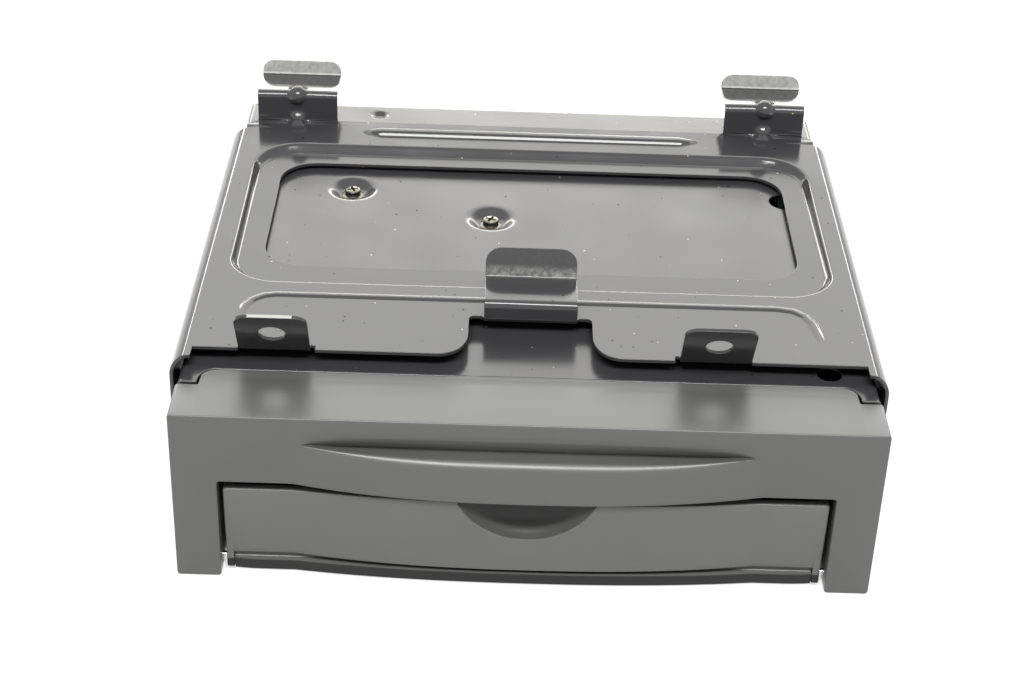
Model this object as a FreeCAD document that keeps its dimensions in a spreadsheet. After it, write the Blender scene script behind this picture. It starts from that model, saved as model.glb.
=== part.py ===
import FreeCAD, Part
import math
import os
import re
from FreeCAD import Vector, Rotation, Placement
from types import SimpleNamespace

# Slot-in disc reader for a vehicle navigation system: a steel case behind a moulded bezel
# with a fall-front flap, carried by a pressed steel bracket that hooks and screws to the vehicle.
# X is to the right, Y runs from the front face to the rear, Z is up from the resting face.
# Inside this file lengths along Y are counted from the flat of the bezel's face; each finished
# piece is then moved so that the origin is the bottom centre of the whole reader.

SIZES = [
    ("bezel_overhang", 0.5), ("bezel_height", 50.0), ("bezel_depth", 14.5), ("bezel_wall", 2.2),
    ("leg_floor", 1.2),
    ("leg_width", 11.5), ("leg_height", 30.0), ("header_bow", 3.9), ("header_drop", 1.7),
    ("brow_half_width", 59.5), ("brow_ledge_height", 40.0), ("brow_depth", 3.8),
    ("tongue_margin", 6.0), ("tongue_length", 5.9), ("tongue_thickness", 1.4),
    ("flap_gap", 1.2), ("flap_recess", 1.5), ("flap_top", 27.0), ("flap_bottom", 5.0),
    ("flap_thickness", 2.2), ("cheek_thickness", 2.0), ("lip_top", 2.6), ("lip_bottom", 0.4),
    ("hinge_height", 3.2), ("hinge_depth", 5.0), ("hinge_radius", 1.0), ("thumb_radius", 19.2),
    ("thumb_width", 36.0), ("thumb_tilt", 12.0),
    ("fascia_front", 9.6), ("fascia_wall", 2.0), ("fascia_drop", 6.0), ("slot_width", 125.0),
    ("slot_height", 4.6), ("disc_height", 17.0), ("felt_opening", 1.4),
    ("button_side", 70.0), ("button_width", 7.5), ("button_height", 5.5), ("button_travel", 0.8),
    ("case_width", 179.0), ("case_length", 178.0), ("lid_rise", 0.6), ("cover_sheet", 0.8),
    ("chassis_sheet", 0.8), ("cover_skirt", 16.0), ("sheet_gap", 0.1),
    ("plate_gap", 3.4), ("plate_front", 24.4), ("plate_rear", 157.6), ("plate_sheet", 1.0),
    ("rail_gap", 1.8), ("rail_front", 20.0), ("rail_rear", 151.0), ("rail_radius", 4.4),
    ("flange_bottom", 20.0), ("panel_depth", 2.2), ("panel_side", 5.6), ("panel_front", 34.0),
    ("panel_back", 16.0), ("panel_radius", 14.0), ("window_margin", 8.6), ("window_radius", 11.0),
    ("rib_length", 104.0), ("rib_width", 4.2), ("bead_height", 0.9), ("bead_width", 3.4),
    ("ear_width", 18.5), ("ear_length", 17.5), ("ear_lean", 30.0), ("ear_hole_radius", 3.45),
    ("ear_left", -65.7), ("ear_right", 47.6), ("hook_width", 24.6), ("rear_hook_side", 72.4),
    ("hook_front", 41.5), ("hook_front_rise", 5.6), ("hook_front_reach", 14.2),
    ("hook_front_tab", 8.75), ("hook_rear_rise", 9.8), ("hook_rear_reach", 15.4),
    ("hook_rear_tab", 5.4), ("hook_tilt", 4.0), ("notch_width", 3.9),
    ("mech_plate_height", 8.0), ("mech_sheet", 1.2), ("mech_half_width", 67.2),
    ("mech_front", 22.5), ("mech_rear", 160.0), ("disc_centre", 90.0), ("disc_radius", 60.0),
    ("platter_radius", 14.0), ("roller_radius", 4.0), ("roller_depth", 27.0),
    ("rod_height", 11.2), ("rod_radius", 1.25), ("rod_side", 26.0), ("screw_side", 36.0),
    ("sled_travel", 28.0), ("gear_module", 0.5), ("roller_teeth", 24.0), ("idler_teeth", 36.0),
    ("pinion_teeth", 10.0), ("gear_width", 2.6), ("run_gap", 0.05),
    ("main_board_height", 36.0), ("board_sheet", 1.6), ("board_front", 24.0),
    ("board_clearance", 1.3), ("board_rear_gap", 8.0), ("board_screw_inset", 5.0),
    ("socket_reach", 8.0),
]

doc = FreeCAD.newDocument("DiscReader")
size = SimpleNamespace(**dict(SIZES))

# Sizes that follow from others, so that what fits together stays together
size.bezel_width = size.case_width + 2 * size.bezel_overhang
size.tongue_width = size.bezel_width - 2 * size.tongue_margin
size.fascia_top = size.bezel_height - size.fascia_drop
size.case_top = size.bezel_height + size.lid_rise
size.plate_height = size.case_top + size.plate_gap + size.plate_sheet
size.bracket_width = size.case_width + 2 * size.rail_gap + 2 * size.plate_sheet
size.chassis_half = size.case_width / 2 - size.cover_sheet - size.sheet_gap
size.board_half = size.chassis_half - size.chassis_sheet - size.board_clearance
size.board_rear = size.case_length - size.board_rear_gap
size.board_screw_side = size.chassis_half - size.chassis_sheet / 2 - size.board_screw_inset

sheet = doc.addObject("Spreadsheet::Sheet", "Sizes")
for row, (alias, number) in enumerate(vars(size).items(), start=1):
    sheet.set("A%d" % row, alias)
    sheet.set("B%d" % row, "%.9g" % number)
    sheet.setAlias("B%d" % row, alias)
doc.recompute()

MIDDLE = "(case_length + socket_reach - header_bow) / 2"
pieces = []


def link(text):
    """Turns a sum of size names into an expression on the sheet."""
    return re.sub(r"[a-z][a-z_]+", lambda word: "Sizes." + word.group(0), text)


def bind(thing, **sizes):
    for name, text in sizes.items():
        thing.setExpression(name, link(text))
    return thing


def put(thing, where):
    for axis, text in zip("xyz", where):
        thing.setExpression(".Placement.Base." + axis, link(text))
    return thing


def finish(thing, label):
    """Names a finished piece and moves it to the reader's own origin."""
    placed = [text for path, text in thing.ExpressionEngine if path == ".Placement.Base.y"]
    shift = "%s - %s" % (placed[0] if placed else "0", link(MIDDLE))
    thing.setExpression(".Placement.Base.y", shift)
    thing.Label = label
    pieces.append(thing)
    return thing


def box(size_text, where):
    made = doc.addObject("Part::Box", "Block")
    bind(made, Length=size_text[0], Width=size_text[1], Height=size_text[2])
    return put(made, where)


AXES = {"x": Rotation(Vector(0, 1, 0), 90), "y": Rotation(Vector(1, 0, 0), -90), "z": Rotation()}


def rod(radius, length, where, along="z"):
    made = doc.addObject("Part::Cylinder", "Round")
    bind(made, Radius=radius, Height=length)
    made.Placement = Placement(Vector(), AXES[along])
    return put(made, where)


def prism(radius, length, where, along="z", sides=8):
    """A flat-sided stand-in for a hidden round piece, its corners on the given radius."""
    made = doc.addObject("Part::Prism", "Facets")
    made.Polygon = sides
    bind(made, Circumradius=radius, Height=length)
    made.Placement = Placement(Vector(), AXES[along])
    return put(made, where)


def fuse(parts):
    made = doc.addObject("Part::MultiFuse", "Joined")
    made.Shapes = parts
    return made


def group(parts):
    made = doc.addObject("Part::Compound", "Set")
    made.Links = parts
    return made


def cut(base, tools):
    made = doc.addObject("Part::Cut", "Trimmed")
    made.Base = base
    made.Tool = tools[0] if len(tools) == 1 else fuse(tools)
    return made


def holding(shape):
    made = doc.addObject("Part::Feature", "Formed")
    made.Shape = shape
    return made


def outline(points):
    """A closed outline; a point with a third number is rounded to that radius."""
    edges = []
    ends = []
    count = len(points)
    for index in range(count):
        before = Vector(points[index - 1][0], points[index - 1][1], 0)
        here = Vector(points[index][0], points[index][1], 0)
        after = Vector(points[(index + 1) % count][0], points[(index + 1) % count][1], 0)
        radius = points[index][2] if len(points[index]) > 2 else 0
        if radius <= 0:
            ends.append((here, here, None))
            continue
        back = (before - here).normalize()
        ahead = (after - here).normalize()
        half = math.acos(max(-1, min(1, back.dot(ahead)))) / 2
        reach = radius / math.tan(half)
        middle = here + (back + ahead).normalize() * (radius / math.sin(half) - radius)
        ends.append((here + back * reach, here + ahead * reach, middle))
    for index, (first, last, middle) in enumerate(ends):
        if middle is not None:
            edges.append(Part.Arc(first, middle, last))
        start = last
        stop = ends[(index + 1) % count][0]
        if start.distanceToPoint(stop) > 1e-6:
            edges.append(Part.LineSegment(start, stop))
    return edges


def rounded(low_x, low_y, high_x, high_y, radius):
    return [(low_x, low_y, radius), (high_x, low_y, radius),
            (high_x, high_y, radius), (low_x, high_y, radius)]


def flat_face(points, height=0.0):
    wire = Part.Wire([edge.toShape() for edge in outline(points)])
    wire.translate(Vector(0, 0, height))
    return Part.Face(wire)


def new_body(name):
    return doc.addObject("PartDesign::Body", name)


def sketch(body, role, edges, offset):
    made = body.newObject("Sketcher::SketchObject", "Profile")
    plane = next(one for one in body.Origin.OriginFeatures if one.Role == role)
    made.AttachmentSupport = [(plane, "")]
    made.MapMode = "FlatFace"
    made.setExpression(".AttachmentOffset.Base.z", link(offset))
    made.addGeometry(edges, False)
    return made


def pad(body, role, points, start, length):
    """Adds the outline between start and start + length along the plane's own axis."""
    offset = "-(%s) - (%s)" % (start, length) if role == "XZ_Plane" else start
    profile = sketch(body, role, outline(points), offset)
    made = body.newObject("PartDesign::Pad", "Pad")
    made.Profile = profile
    made.setExpression("Length", link(length))
    doc.recompute()
    return made


def pocket(body, role, edges, start, length):
    """Cuts the outline between start and start + length along the plane's own axis."""
    offset = "-(%s)" % start if role == "XZ_Plane" else "(%s) + (%s)" % (start, length)
    before = body.Shape.Volume
    profile = sketch(body, role, edges, offset)
    made = body.newObject("PartDesign::Pocket", "Pocket")
    made.Profile = profile
    made.setExpression("Length", link(length))
    doc.recompute()
    if body.Shape.Volume > before - 1e-6:
        raise ValueError("a pocket in %s cuts nothing" % body.Name)
    return made


def turned(name, points):
    """A solid of revolution about Z from an outline of (radius, height) points."""
    body = new_body(name)
    profile = sketch(body, "XZ_Plane", outline(points), "0")
    made = body.newObject("PartDesign::Revolution", "Turn")
    made.Profile = profile
    made.ReferenceAxis = (profile, ["V_Axis"])
    made.Angle = 360
    doc.recompute()
    return body


def soften(body, reach, wanted, kind="Fillet"):
    """Rounds or chamfers the body's edges that wanted() picks."""
    tip = body.Tip
    names = ["Edge%d" % (index + 1) for index, edge in enumerate(tip.Shape.Edges) if wanted(edge)]
    if not names:
        raise ValueError("no edge to soften on %s" % body.Name)
    made = body.newObject("PartDesign::" + kind, "Softened")
    made.Base = (tip, names)
    made.setExpression("Radius" if kind == "Fillet" else "Size", link(reach))
    doc.recompute()
    return made


def circle(x, y, radius):
    return [Part.Circle(Vector(x, y, 0), Vector(0, 0, 1), radius)]


def polygon(x, y, radius, sides):
    """Corners of an upright regular outline whose sides lie at the given radius."""
    reach = radius / math.cos(math.pi / sides)
    turn = 2 * math.pi / sides
    return [(x + reach * math.cos(turn * (index + 0.5)), y + reach * math.sin(turn * (index + 0.5)))
            for index in range(sides)]


def facets(x, y, radius, sides=8):
    """A hidden clearance hole with flat sides that keep its radius."""
    return outline(polygon(x, y, radius, sides))


def across(edge, axis, tolerance=1e-4):
    """True for a straight edge along the given axis."""
    if not isinstance(edge.Curve, Part.Line):
        return False
    return abs(abs(edge.tangentAt(edge.FirstParameter).dot(axis)) - 1) < tolerance


X_AXIS, Y_AXIS, Z_AXIS = Vector(1, 0, 0), Vector(0, 1, 0), Vector(0, 0, 1)


# Front bezel: an inverted U whose header carries a lens-shaped brow over a bowed band

def bow(x, half_width, power=2.4):
    """Plan bow of the front, one at the middle and none from half_width outwards."""
    share = min(1.0, abs(x) / half_width)
    return max(0.012, 1 - share ** power)


def header_section(x):
    """Outline in the YZ plane of the header where the brow runs across it."""
    wave = bow(x, size.brow_half_width)
    deep = size.brow_depth * bow(x, size.brow_half_width, 8)
    front = size.header_bow * wave
    ledge = size.brow_ledge_height
    low = size.leg_height - size.header_drop * wave
    rear = size.bezel_depth / 2
    crease = ledge + 0.6 + 1.9 * bow(x, size.brow_half_width, 8)
    return [(rear, low), (rear, size.bezel_height), (0, size.bezel_height), (0, crease),
            (deep * 0.35, crease - 0.2), (deep * 0.8, crease - 0.5), (deep, ledge),
            (-front * 0.6, ledge - 0.4), (-front * 0.86, ledge - 0.9), (-front, ledge - 2.2),
            (-front, low)]


def lofted(body, stations, section):
    """A ruled solid through the sections at the stations along X."""
    profiles = [sketch(body, "YZ_Plane", outline(section(x)), "%.6f" % x) for x in stations]
    made = body.newObject("PartDesign::AdditiveLoft", "Loft")
    made.Profile = profiles[0]
    made.Sections = profiles[1:]
    made.Ruled = True
    doc.recompute()
    return made


def brow_stations():
    steps = 12
    turn = math.pi / steps
    return [-size.brow_half_width * math.cos(turn * index) for index in range(steps + 1)]


def make_bezel():
    body = new_body("Bezel")
    lofted(body, brow_stations(), header_section)
    half = size.bezel_width / 2
    inner = half - size.leg_width
    wall = size.bezel_wall
    floor = size.leg_floor
    brow = size.brow_half_width
    for side in (-1, 1):
        pad(body, "XZ_Plane",
            [(side * brow, size.leg_height), (side * inner, size.leg_height, 0.6),
             (side * inner, 0), (side * half, 0), (side * half, size.bezel_height),
             (side * brow, size.bezel_height)][::side], "0", "bezel_depth / 2")
    shell = [(-half, 0), (-half, size.bezel_height), (half, size.bezel_height), (half, 0),
             (inner, 0), (inner, size.leg_height), (inner + wall, size.leg_height + wall),
             (inner + wall, floor), (half - wall, floor), (half - wall, size.bezel_height - wall),
             (-half + wall, size.bezel_height - wall), (-half + wall, floor),
             (-inner - wall, floor), (-inner - wall, size.leg_height + wall),
             (-inner, size.leg_height), (-inner, 0)]
    pad(body, "XZ_Plane", shell, "bezel_depth / 2", "bezel_depth / 2")
    reach = size.tongue_width / 2
    tongue_rear = size.bezel_depth + size.tongue_length
    pad(body, "XY_Plane",
        [(-reach, size.bezel_depth - 1), (reach, size.bezel_depth - 1),
         (reach, tongue_rear, 4.5), (-reach, tongue_rear, 4.5)],
        "bezel_height - tongue_thickness", "tongue_thickness")
    for side in (-1, 1):
        pocket(body, "YZ_Plane", circle(size.hinge_depth, size.hinge_height, size.hinge_radius),
               "-bezel_width / 2 + bezel_wall" if side < 0 else "bezel_width / 2 - leg_width - 1",
               "leg_width - bezel_wall + 1")
        core = [(side * (inner + wall), floor), (side * (half - wall), floor),
                (side * (half - wall), size.leg_height), (side * (inner + wall), size.leg_height)]
        pocket(body, "XZ_Plane", outline(core[::side]), "bezel_wall + 0.6", "bezel_depth / 2")
    soften(body, "0.5", lambda edge: across(edge, X_AXIS)
           and abs(edge.CenterOfMass.y) < 0.01 and edge.CenterOfMass.z > size.bezel_height - 0.01)
    return finish(body, "front_bezel")


# Flap: a bowed door with two cheeks down to its hinge pins and a lip under a finger groove

def flap_front(x):
    return size.flap_recess - size.header_bow * bow(x, size.brow_half_width)


def flap_section(x):
    wave = bow(x, size.brow_half_width)
    front = flap_front(x)
    top = size.flap_top + 0.7 * wave
    low = size.flap_bottom - 0.6 * wave
    thick = size.flap_thickness
    end_round = 1.6 * max(0.0, (abs(x) - 68) / 8) ** 2
    lip = 0.5 - 3.2 * wave + end_round
    groove = 3.8
    back = 6.0
    return [(front, top), (front, low), (groove, low), (groove, size.lip_top),
            (lip, size.lip_top), (lip, size.lip_bottom), (back, size.lip_bottom),
            (back, low + thick), (front + thick, low + thick), (front + thick, top)]


def make_flap():
    body = new_body("Flap")
    half = size.bezel_width / 2 - size.leg_width - size.flap_gap
    inside = half - size.cheek_thickness
    stations = brow_stations()
    stations = [-inside, -69.0] + stations + [69.0, inside]
    lofted(body, stations, flap_section)
    recess = size.flap_recess
    cheek = [(recess, 0.9), (recess, size.flap_top), (7.6, size.flap_top, 3.0), (7.6, 0.9, 3.0)]
    for side in (-1, 1):
        start = "bezel_width / 2 - leg_width - flap_gap - cheek_thickness"
        if side < 0:
            start = "-bezel_width / 2 + leg_width + flap_gap"
        pad(body, "YZ_Plane", cheek, start, "cheek_thickness")
    pad(body, "XZ_Plane",
        rounded(-size.thumb_width / 2 - 3, size.flap_top - 16.5, size.thumb_width / 2 + 3,
                size.flap_top - 0.1, 1.5), "-0.6", "4.6")
    lean = math.radians(size.thumb_tilt)
    rise = size.thumb_radius - 12.6
    scoop = Part.makeCylinder(size.thumb_radius, 12, Vector(0, 0, 0),
                              Vector(0, -math.cos(lean), -math.sin(lean)))
    scoop.translate(Vector(0, flap_front(0) - 0.7, size.flap_top + rise))
    bores = [rod("hinge_radius + run_gap", "cheek_thickness + 2",
                 ("bezel_width / 2 - leg_width - flap_gap - cheek_thickness - 1",
                  "hinge_depth", "hinge_height"), "x"),
             rod("hinge_radius + run_gap", "cheek_thickness + 2",
                 ("-bezel_width / 2 + leg_width + flap_gap - 1",
                  "hinge_depth", "hinge_height"), "x")]
    return finish(cut(body, bores + [holding(scoop)]), "flap_door")


def wound(inner, outer, length, where):
    """A hidden torsion spring, kept as the sleeve that its closed turns fill."""
    return cut(rod(outer, length, where, "x"), [rod(inner, length, where, "x")])


def make_hinge():
    reach = "flap_gap + cheek_thickness + bezel_wall + 3"
    pins = [rod("hinge_radius", reach,
                ("bezel_width / 2 - leg_width - flap_gap - cheek_thickness",
                 "hinge_depth", "hinge_height"), "x"),
            rod("hinge_radius", reach,
                ("-bezel_width / 2 + leg_width - bezel_wall - 3", "hinge_depth", "hinge_height"),
                "x")]
    finish(group(pins), "flap_hinge_pins")
    spring = wound("hinge_radius + 0.15", "hinge_radius + 0.6", "3",
                   ("-bezel_width / 2 + bezel_wall + 4.1", "hinge_depth", "hinge_height"))
    finish(spring, "flap_spring")


# Slot fascia, felts, eject button and its switch

def make_fascia():
    body = new_body("Fascia")
    half = size.bezel_width / 2 - size.leg_width - 0.3
    top = size.fascia_top
    wall = size.fascia_wall
    pad(body, "XZ_Plane", rounded(-half, 0.4, half, top, 1.0), "fascia_front",
        "bezel_depth + 0.2 - fascia_front")
    pocket(body, "XZ_Plane", outline(rounded(-half + wall, 0.4 + wall, half - wall, top - wall, 0)),
           "fascia_front + fascia_wall", "bezel_depth")
    slot = size.slot_width / 2
    high = size.slot_height / 2
    middle = size.disc_height
    pocket(body, "XZ_Plane", outline(rounded(-slot, middle - high, slot, middle + high, 1.2)),
           "fascia_front - 1", "fascia_wall + 2")
    wide = size.button_width / 2 + 0.25
    tall = size.button_height / 2 + 0.25
    pocket(body, "XZ_Plane",
           outline(rounded(size.button_side - wide, middle - tall, size.button_side + wide,
                           middle + tall, 1.2)), "fascia_front - 1", "fascia_wall + 2")
    pocket(body, "XZ_Plane", circle(-size.button_side, middle, 1.6), "fascia_front - 1",
           "fascia_wall + 2")
    soften(body, "0.9", lambda edge: abs(edge.CenterOfMass.y - size.fascia_front) < 0.01
           and abs(edge.CenterOfMass.z - middle) < high + 0.1
           and abs(edge.CenterOfMass.x) < slot + 0.1, "Chamfer")
    finish(body, "slot_fascia")
    felt = [box(("slot_width - 1", "0.9", "slot_height / 2 + 1.4"),
                ("-slot_width / 2 + 0.5", "fascia_front + fascia_wall",
                 "disc_height + felt_opening / 2")),
            box(("slot_width - 1", "0.9", "slot_height / 2 + 1.4"),
                ("-slot_width / 2 + 0.5", "fascia_front + fascia_wall",
                 "disc_height - felt_opening / 2 - slot_height / 2 - 1.4"))]
    finish(group(felt), "slot_felts")
    lens = turned("Lens", [(0, 0), (1.55, 0), (1.55, 2.4), (2.6, 2.4), (2.6, 3.2), (0, 3.2)])
    lens.Placement = Placement(Vector(), AXES["y"])
    put(lens, ("-button_side", "fascia_front - 0.4", "disc_height"))
    finish(lens, "indicator_lens")


def make_eject():
    body = new_body("Button")
    wide = size.button_width / 2
    tall = size.button_height / 2
    x, z = size.button_side, size.disc_height
    pad(body, "XZ_Plane", rounded(x - wide, z - tall, x + wide, z + tall, 1.0),
        "fascia_front - 1.6", "fascia_wall + 1.8")
    pad(body, "XZ_Plane", rounded(x - wide - 1, z - tall - 1, x + wide + 1, z + tall + 1, 0),
        "fascia_front + fascia_wall + 0.2", "0.8")
    soften(body, "0.4", lambda edge: abs(edge.CenterOfMass.y - size.fascia_front + 1.6) < 0.01,
           "Chamfer")
    finish(body, "eject_button")
    front = "fascia_front + fascia_wall + 1 + button_travel + 0.1"
    shell = box(("6", "1.8", "6"), ("button_side - 3", front + " + 0.5", "disc_height - 3"))
    tip = prism("1.7", "0.8", ("button_side", front, "disc_height"), "y")
    finish(fuse([shell, tip]), "eject_switch")
    board = box(("18.5", "1.2", "18"), ("button_side - 8.5", front + " + 2.3", "disc_height - 9"))
    finish(board, "switch_board")


# Case: lower chassis, top cover and rear panel

BOARD_SCREW_DEPTHS = (43.0, 143.0)


def make_chassis():
    body = new_body("Chassis")
    sheet_t = size.chassis_sheet
    half = size.chassis_half
    top = size.case_top - size.cover_sheet - 0.9
    trough = [(-half, top), (-half, 0, 1.4), (half, 0, 1.4), (half, top),
              (half - sheet_t, top), (half - sheet_t, sheet_t, 0.6),
              (-half + sheet_t, sheet_t, 0.6), (-half + sheet_t, top)]
    front = "bezel_depth + 0.2"
    pad(body, "XZ_Plane", trough, front, "case_length - bezel_depth - 0.6")
    wall_top = size.bezel_height - size.tongue_thickness - 0.3
    edge = half - sheet_t / 2
    pad(body, "XZ_Plane", [(-edge, sheet_t / 2), (edge, sheet_t / 2), (edge, wall_top),
                           (-edge, wall_top)], front, "chassis_sheet")
    window = size.button_side + 5.5
    low = size.disc_height - 6.5
    pocket(body, "XZ_Plane", outline(rounded(-window, low, window, size.disc_height + 6.5, 2.0)),
           "bezel_depth - 0.8", "chassis_sheet + 2")
    ledge = "main_board_height - chassis_sheet"
    inside = half - sheet_t / 2
    for side in (-1, 1):
        for depth in BOARD_SCREW_DEPTHS:
            corners = [(side * inside, depth - 7), (side * inside, depth + 7),
                       (side * (inside - 8), depth + 7), (side * (inside - 8), depth - 7)]
            pad(body, "XY_Plane", corners[::-side], ledge, "chassis_sheet")
            pocket(body, "XY_Plane", facets(side * size.board_screw_side, depth, 1.3),
                   "main_board_height - 3", "4")
    for x, y in foot_places():
        pad(body, "XY_Plane", polygon(x, y, 3.5, 8), "chassis_sheet / 2",
            "mech_plate_height - 3.4 - chassis_sheet / 2")
        pocket(body, "XY_Plane", facets(x, y, 1.55), "1.2", "mech_plate_height")
    for x, y in stand_places():
        pad(body, "XY_Plane", polygon(x, y, 2.5, 8), "chassis_sheet / 2", "3 - chassis_sheet / 2")
    for side in (-1, 1):
        for depth in bracket_screw_depths():
            pocket(body, "YZ_Plane", facets(depth, 28, 1.6),
                   "case_width / 2 - 4" if side > 0 else "-case_width / 2 - 1", "5")
    return finish(body, "lower_chassis")


def foot_places():
    return [(side * 58.0, depth) for side in (-1, 1) for depth in (40.0, 148.0)]


def stand_places():
    return [(x, y) for x in (-76.0, -24.0) for y in (58.0, 128.0)]


def bracket_screw_depths():
    return (size.plate_front + 20, size.plate_rear - 26)


def dimple_places():
    return [(-52.8, 121.6), (-11.4, 105.6)]


def access_places():
    return [(76.4, 121.5), (77.6, 24.6)]


def make_cover():
    body = new_body("Cover")
    thick = size.cover_sheet
    half = size.case_width / 2
    top = size.case_top
    low = top - size.cover_skirt
    profile = [(-half, low), (-half, top, 1.6), (half, top, 1.6), (half, low),
               (half - thick, low), (half - thick, top - thick, 0.8),
               (-half + thick, top - thick, 0.8), (-half + thick, low)]
    pad(body, "XZ_Plane", profile, "bezel_depth + 0.2", "case_length - bezel_depth - 0.2")
    reach = size.tongue_width / 2 + 0.4
    rear = size.bezel_depth + size.tongue_length + 0.4
    pocket(body, "XY_Plane",
           outline([(-reach, size.bezel_depth - 2), (reach, size.bezel_depth - 2),
                    (reach, rear, 4.9), (-reach, rear, 4.9)]), "case_top - 2", "3")
    for x, y in access_places():
        pocket(body, "XY_Plane", circle(x, y, 4.9), "case_top - 2", "3")
    shape = body.Shape
    for x, y in dimple_places():
        shape = dimple(shape, Placement(Vector(x, y, top), Rotation()), thick,
                       (6.6, 3.9, 2.6, 1.7))
    shape = dimple(shape, Placement(Vector(-47.9, 172.2, top), Rotation()), thick,
                   (2.6, 1.4, 1.1, 0))
    return finish(holding(shape), "top_cover")


def dimple(shape, place, thick, form):
    """Presses a cup of 16 sides into the sheet whose outer face lies in the place's own plane.

    The form gives the radii of the rim and the floor, the depth, and the screw hole's radius."""
    wide, flat, deep, hole = form
    tools = [tapered(polygon(0, 0, flat + 0.2, 16), -deep - thick,
                     polygon(0, 0, wide, 16), -thick / 2),
             tapered(polygon(0, 0, flat, 16), -deep, polygon(0, 0, wide + 0.3, 16), 0.2)]
    if hole:
        tools.append(tapered(polygon(0, 0, hole, 8), -9, polygon(0, 0, hole, 8), 0))
    for tool in tools:
        tool.Placement = place
    shape = shape.fuse(tools[0])
    for tool in tools[1:]:
        shape = shape.cut(tool)
    return shape


def make_rear():
    body = new_body("Rear")
    half = size.chassis_half - size.chassis_sheet - 0.1
    top = size.case_top - size.cover_sheet - 0.4
    pad(body, "XZ_Plane", rounded(-half, size.chassis_sheet + 0.1, half, top, 0),
        "case_length - 2", "1")
    for side in (-1, 1):
        flange = [(side * half, 4), (side * (half - 1), 4), (side * (half - 1), top - 3),
                  (side * half, top - 3)]
        pad(body, "XZ_Plane", flange[::-side], "case_length - 10", "8.5")
    pocket(body, "XZ_Plane", outline(rounded(-72, 37.4, -14, 47.4, 0)), "case_length - 3", "3")
    for x in (10.0, 28.0):
        pocket(body, "XZ_Plane", circle(x, 43.2, 5.2), "case_length - 3", "3")
    for index in range(9):
        pocket(body, "XZ_Plane", outline(rounded(46 + index * 4, 8, 48 + index * 4, 26, 0)),
               "case_length - 3", "3")
    finish(body, "rear_panel")
    plug = new_body("Plug")
    pad(plug, "XZ_Plane", rounded(-71.8, 37.6, -14.2, 47.2, 0.9), "case_length - 13",
        "13 + socket_reach - 2")
    pocket(plug, "XZ_Plane", outline(rounded(-70, 43.0, -16, 45.8, 0)), "case_length - 4",
           "socket_reach + 6")
    pocket(plug, "XZ_Plane", outline(rounded(-70, 39.0, -16, 41.8, 0)), "case_length - 4",
           "socket_reach + 6")
    finish(plug, "main_connector")
    for index, (label, x) in enumerate((("antenna_socket", 10.0), ("display_socket", 28.0))):
        socket = turned("Socket", [(0, -12), (4.6, -12), (4.6, -0.8), (4.1, -0.8), (4.1, 8),
                                   (3.2, 8), (3.2, 0), (1.0, 0), (1.0, 6), (0, 6)])
        socket.Placement = Placement(Vector(), AXES["y"])
        put(socket, ("%.1f" % x, "case_length", "43.2"))
        finish(socket, label)


# Bracket: one pressed sheet with side rails, a sunken panel, ears and three bent hooks

def tapered(low_points, low_height, high_points, high_height):
    """A prism between two outlines of equal corner count, its sides ruled."""
    wires = [flat_face(low_points, low_height).OuterWire,
             flat_face(high_points, high_height).OuterWire]
    return Part.makeLoft(wires, True, True)


def ribbon(path, thick, inner_radius, width, middle):
    """A bent strip: the path in the YZ plane is the sheet's lower face, width is along X."""
    ahead = []
    for index, (y, z) in enumerate(path):
        first = Vector(*path[max(0, index - 1)], 0)
        last = Vector(*path[min(len(path) - 1, index + 1)], 0)
        here = Vector(y, z, 0)
        into = (here - first).normalize() if index > 0 else (last - here).normalize()
        out = (last - here).normalize() if index < len(path) - 1 else into
        left_in = Vector(-into.y, into.x, 0)
        left_out = Vector(-out.y, out.x, 0)
        miter = (left_in + left_out).normalize()
        shift = miter * (thick / miter.dot(left_in))
        turn = into.x * out.y - into.y * out.x
        ahead.append((here, here + shift, turn))
    lower = []
    upper = []
    for here, above, turn in ahead:
        wide = inner_radius + thick
        low_r = wide if turn < -1e-6 else inner_radius
        high_r = inner_radius if turn < -1e-6 else wide
        bent = abs(turn) > 1e-6
        lower.append((here.x, here.y, low_r if bent and turn > 0 else (low_r if bent else 0)))
        upper.append((above.x, above.y, high_r if bent else 0))
    lower = [(y, z, wide if turn > 1e-6 else r) for (y, z, r), (h, a, turn) in zip(lower, ahead)]
    upper = [(y, z, inner_radius if turn > 1e-6 else r)
             for (y, z, r), (h, a, turn) in zip(upper, ahead)]
    lower = [(y, z, inner_radius if turn < -1e-6 else r)
             for (y, z, r), (h, a, turn) in zip(lower, ahead)]
    upper = [(y, z, wide if turn < -1e-6 else r) for (y, z, r), (h, a, turn) in zip(upper, ahead)]
    face = flat_face(lower + upper[::-1])
    strip = face.extrude(Vector(0, 0, width))
    strip.Placement = Placement(Vector(middle - width / 2, 0, 0), Rotation(Vector(1, 1, 1), 120))
    return strip


def front_mask(low_x, low_z, high_x, high_z, radius):
    """A tall prism along Y whose upper corners are rounded, to trim a strip's free end."""
    points = [(low_x, low_z), (high_x, low_z), (high_x, high_z, radius), (low_x, high_z, radius)]
    face = flat_face(points)
    mask = face.extrude(Vector(0, 0, 400))
    mask.Placement = Placement(Vector(0, 200, 0), Rotation(Vector(1, 0, 0), 90))
    return mask


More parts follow.
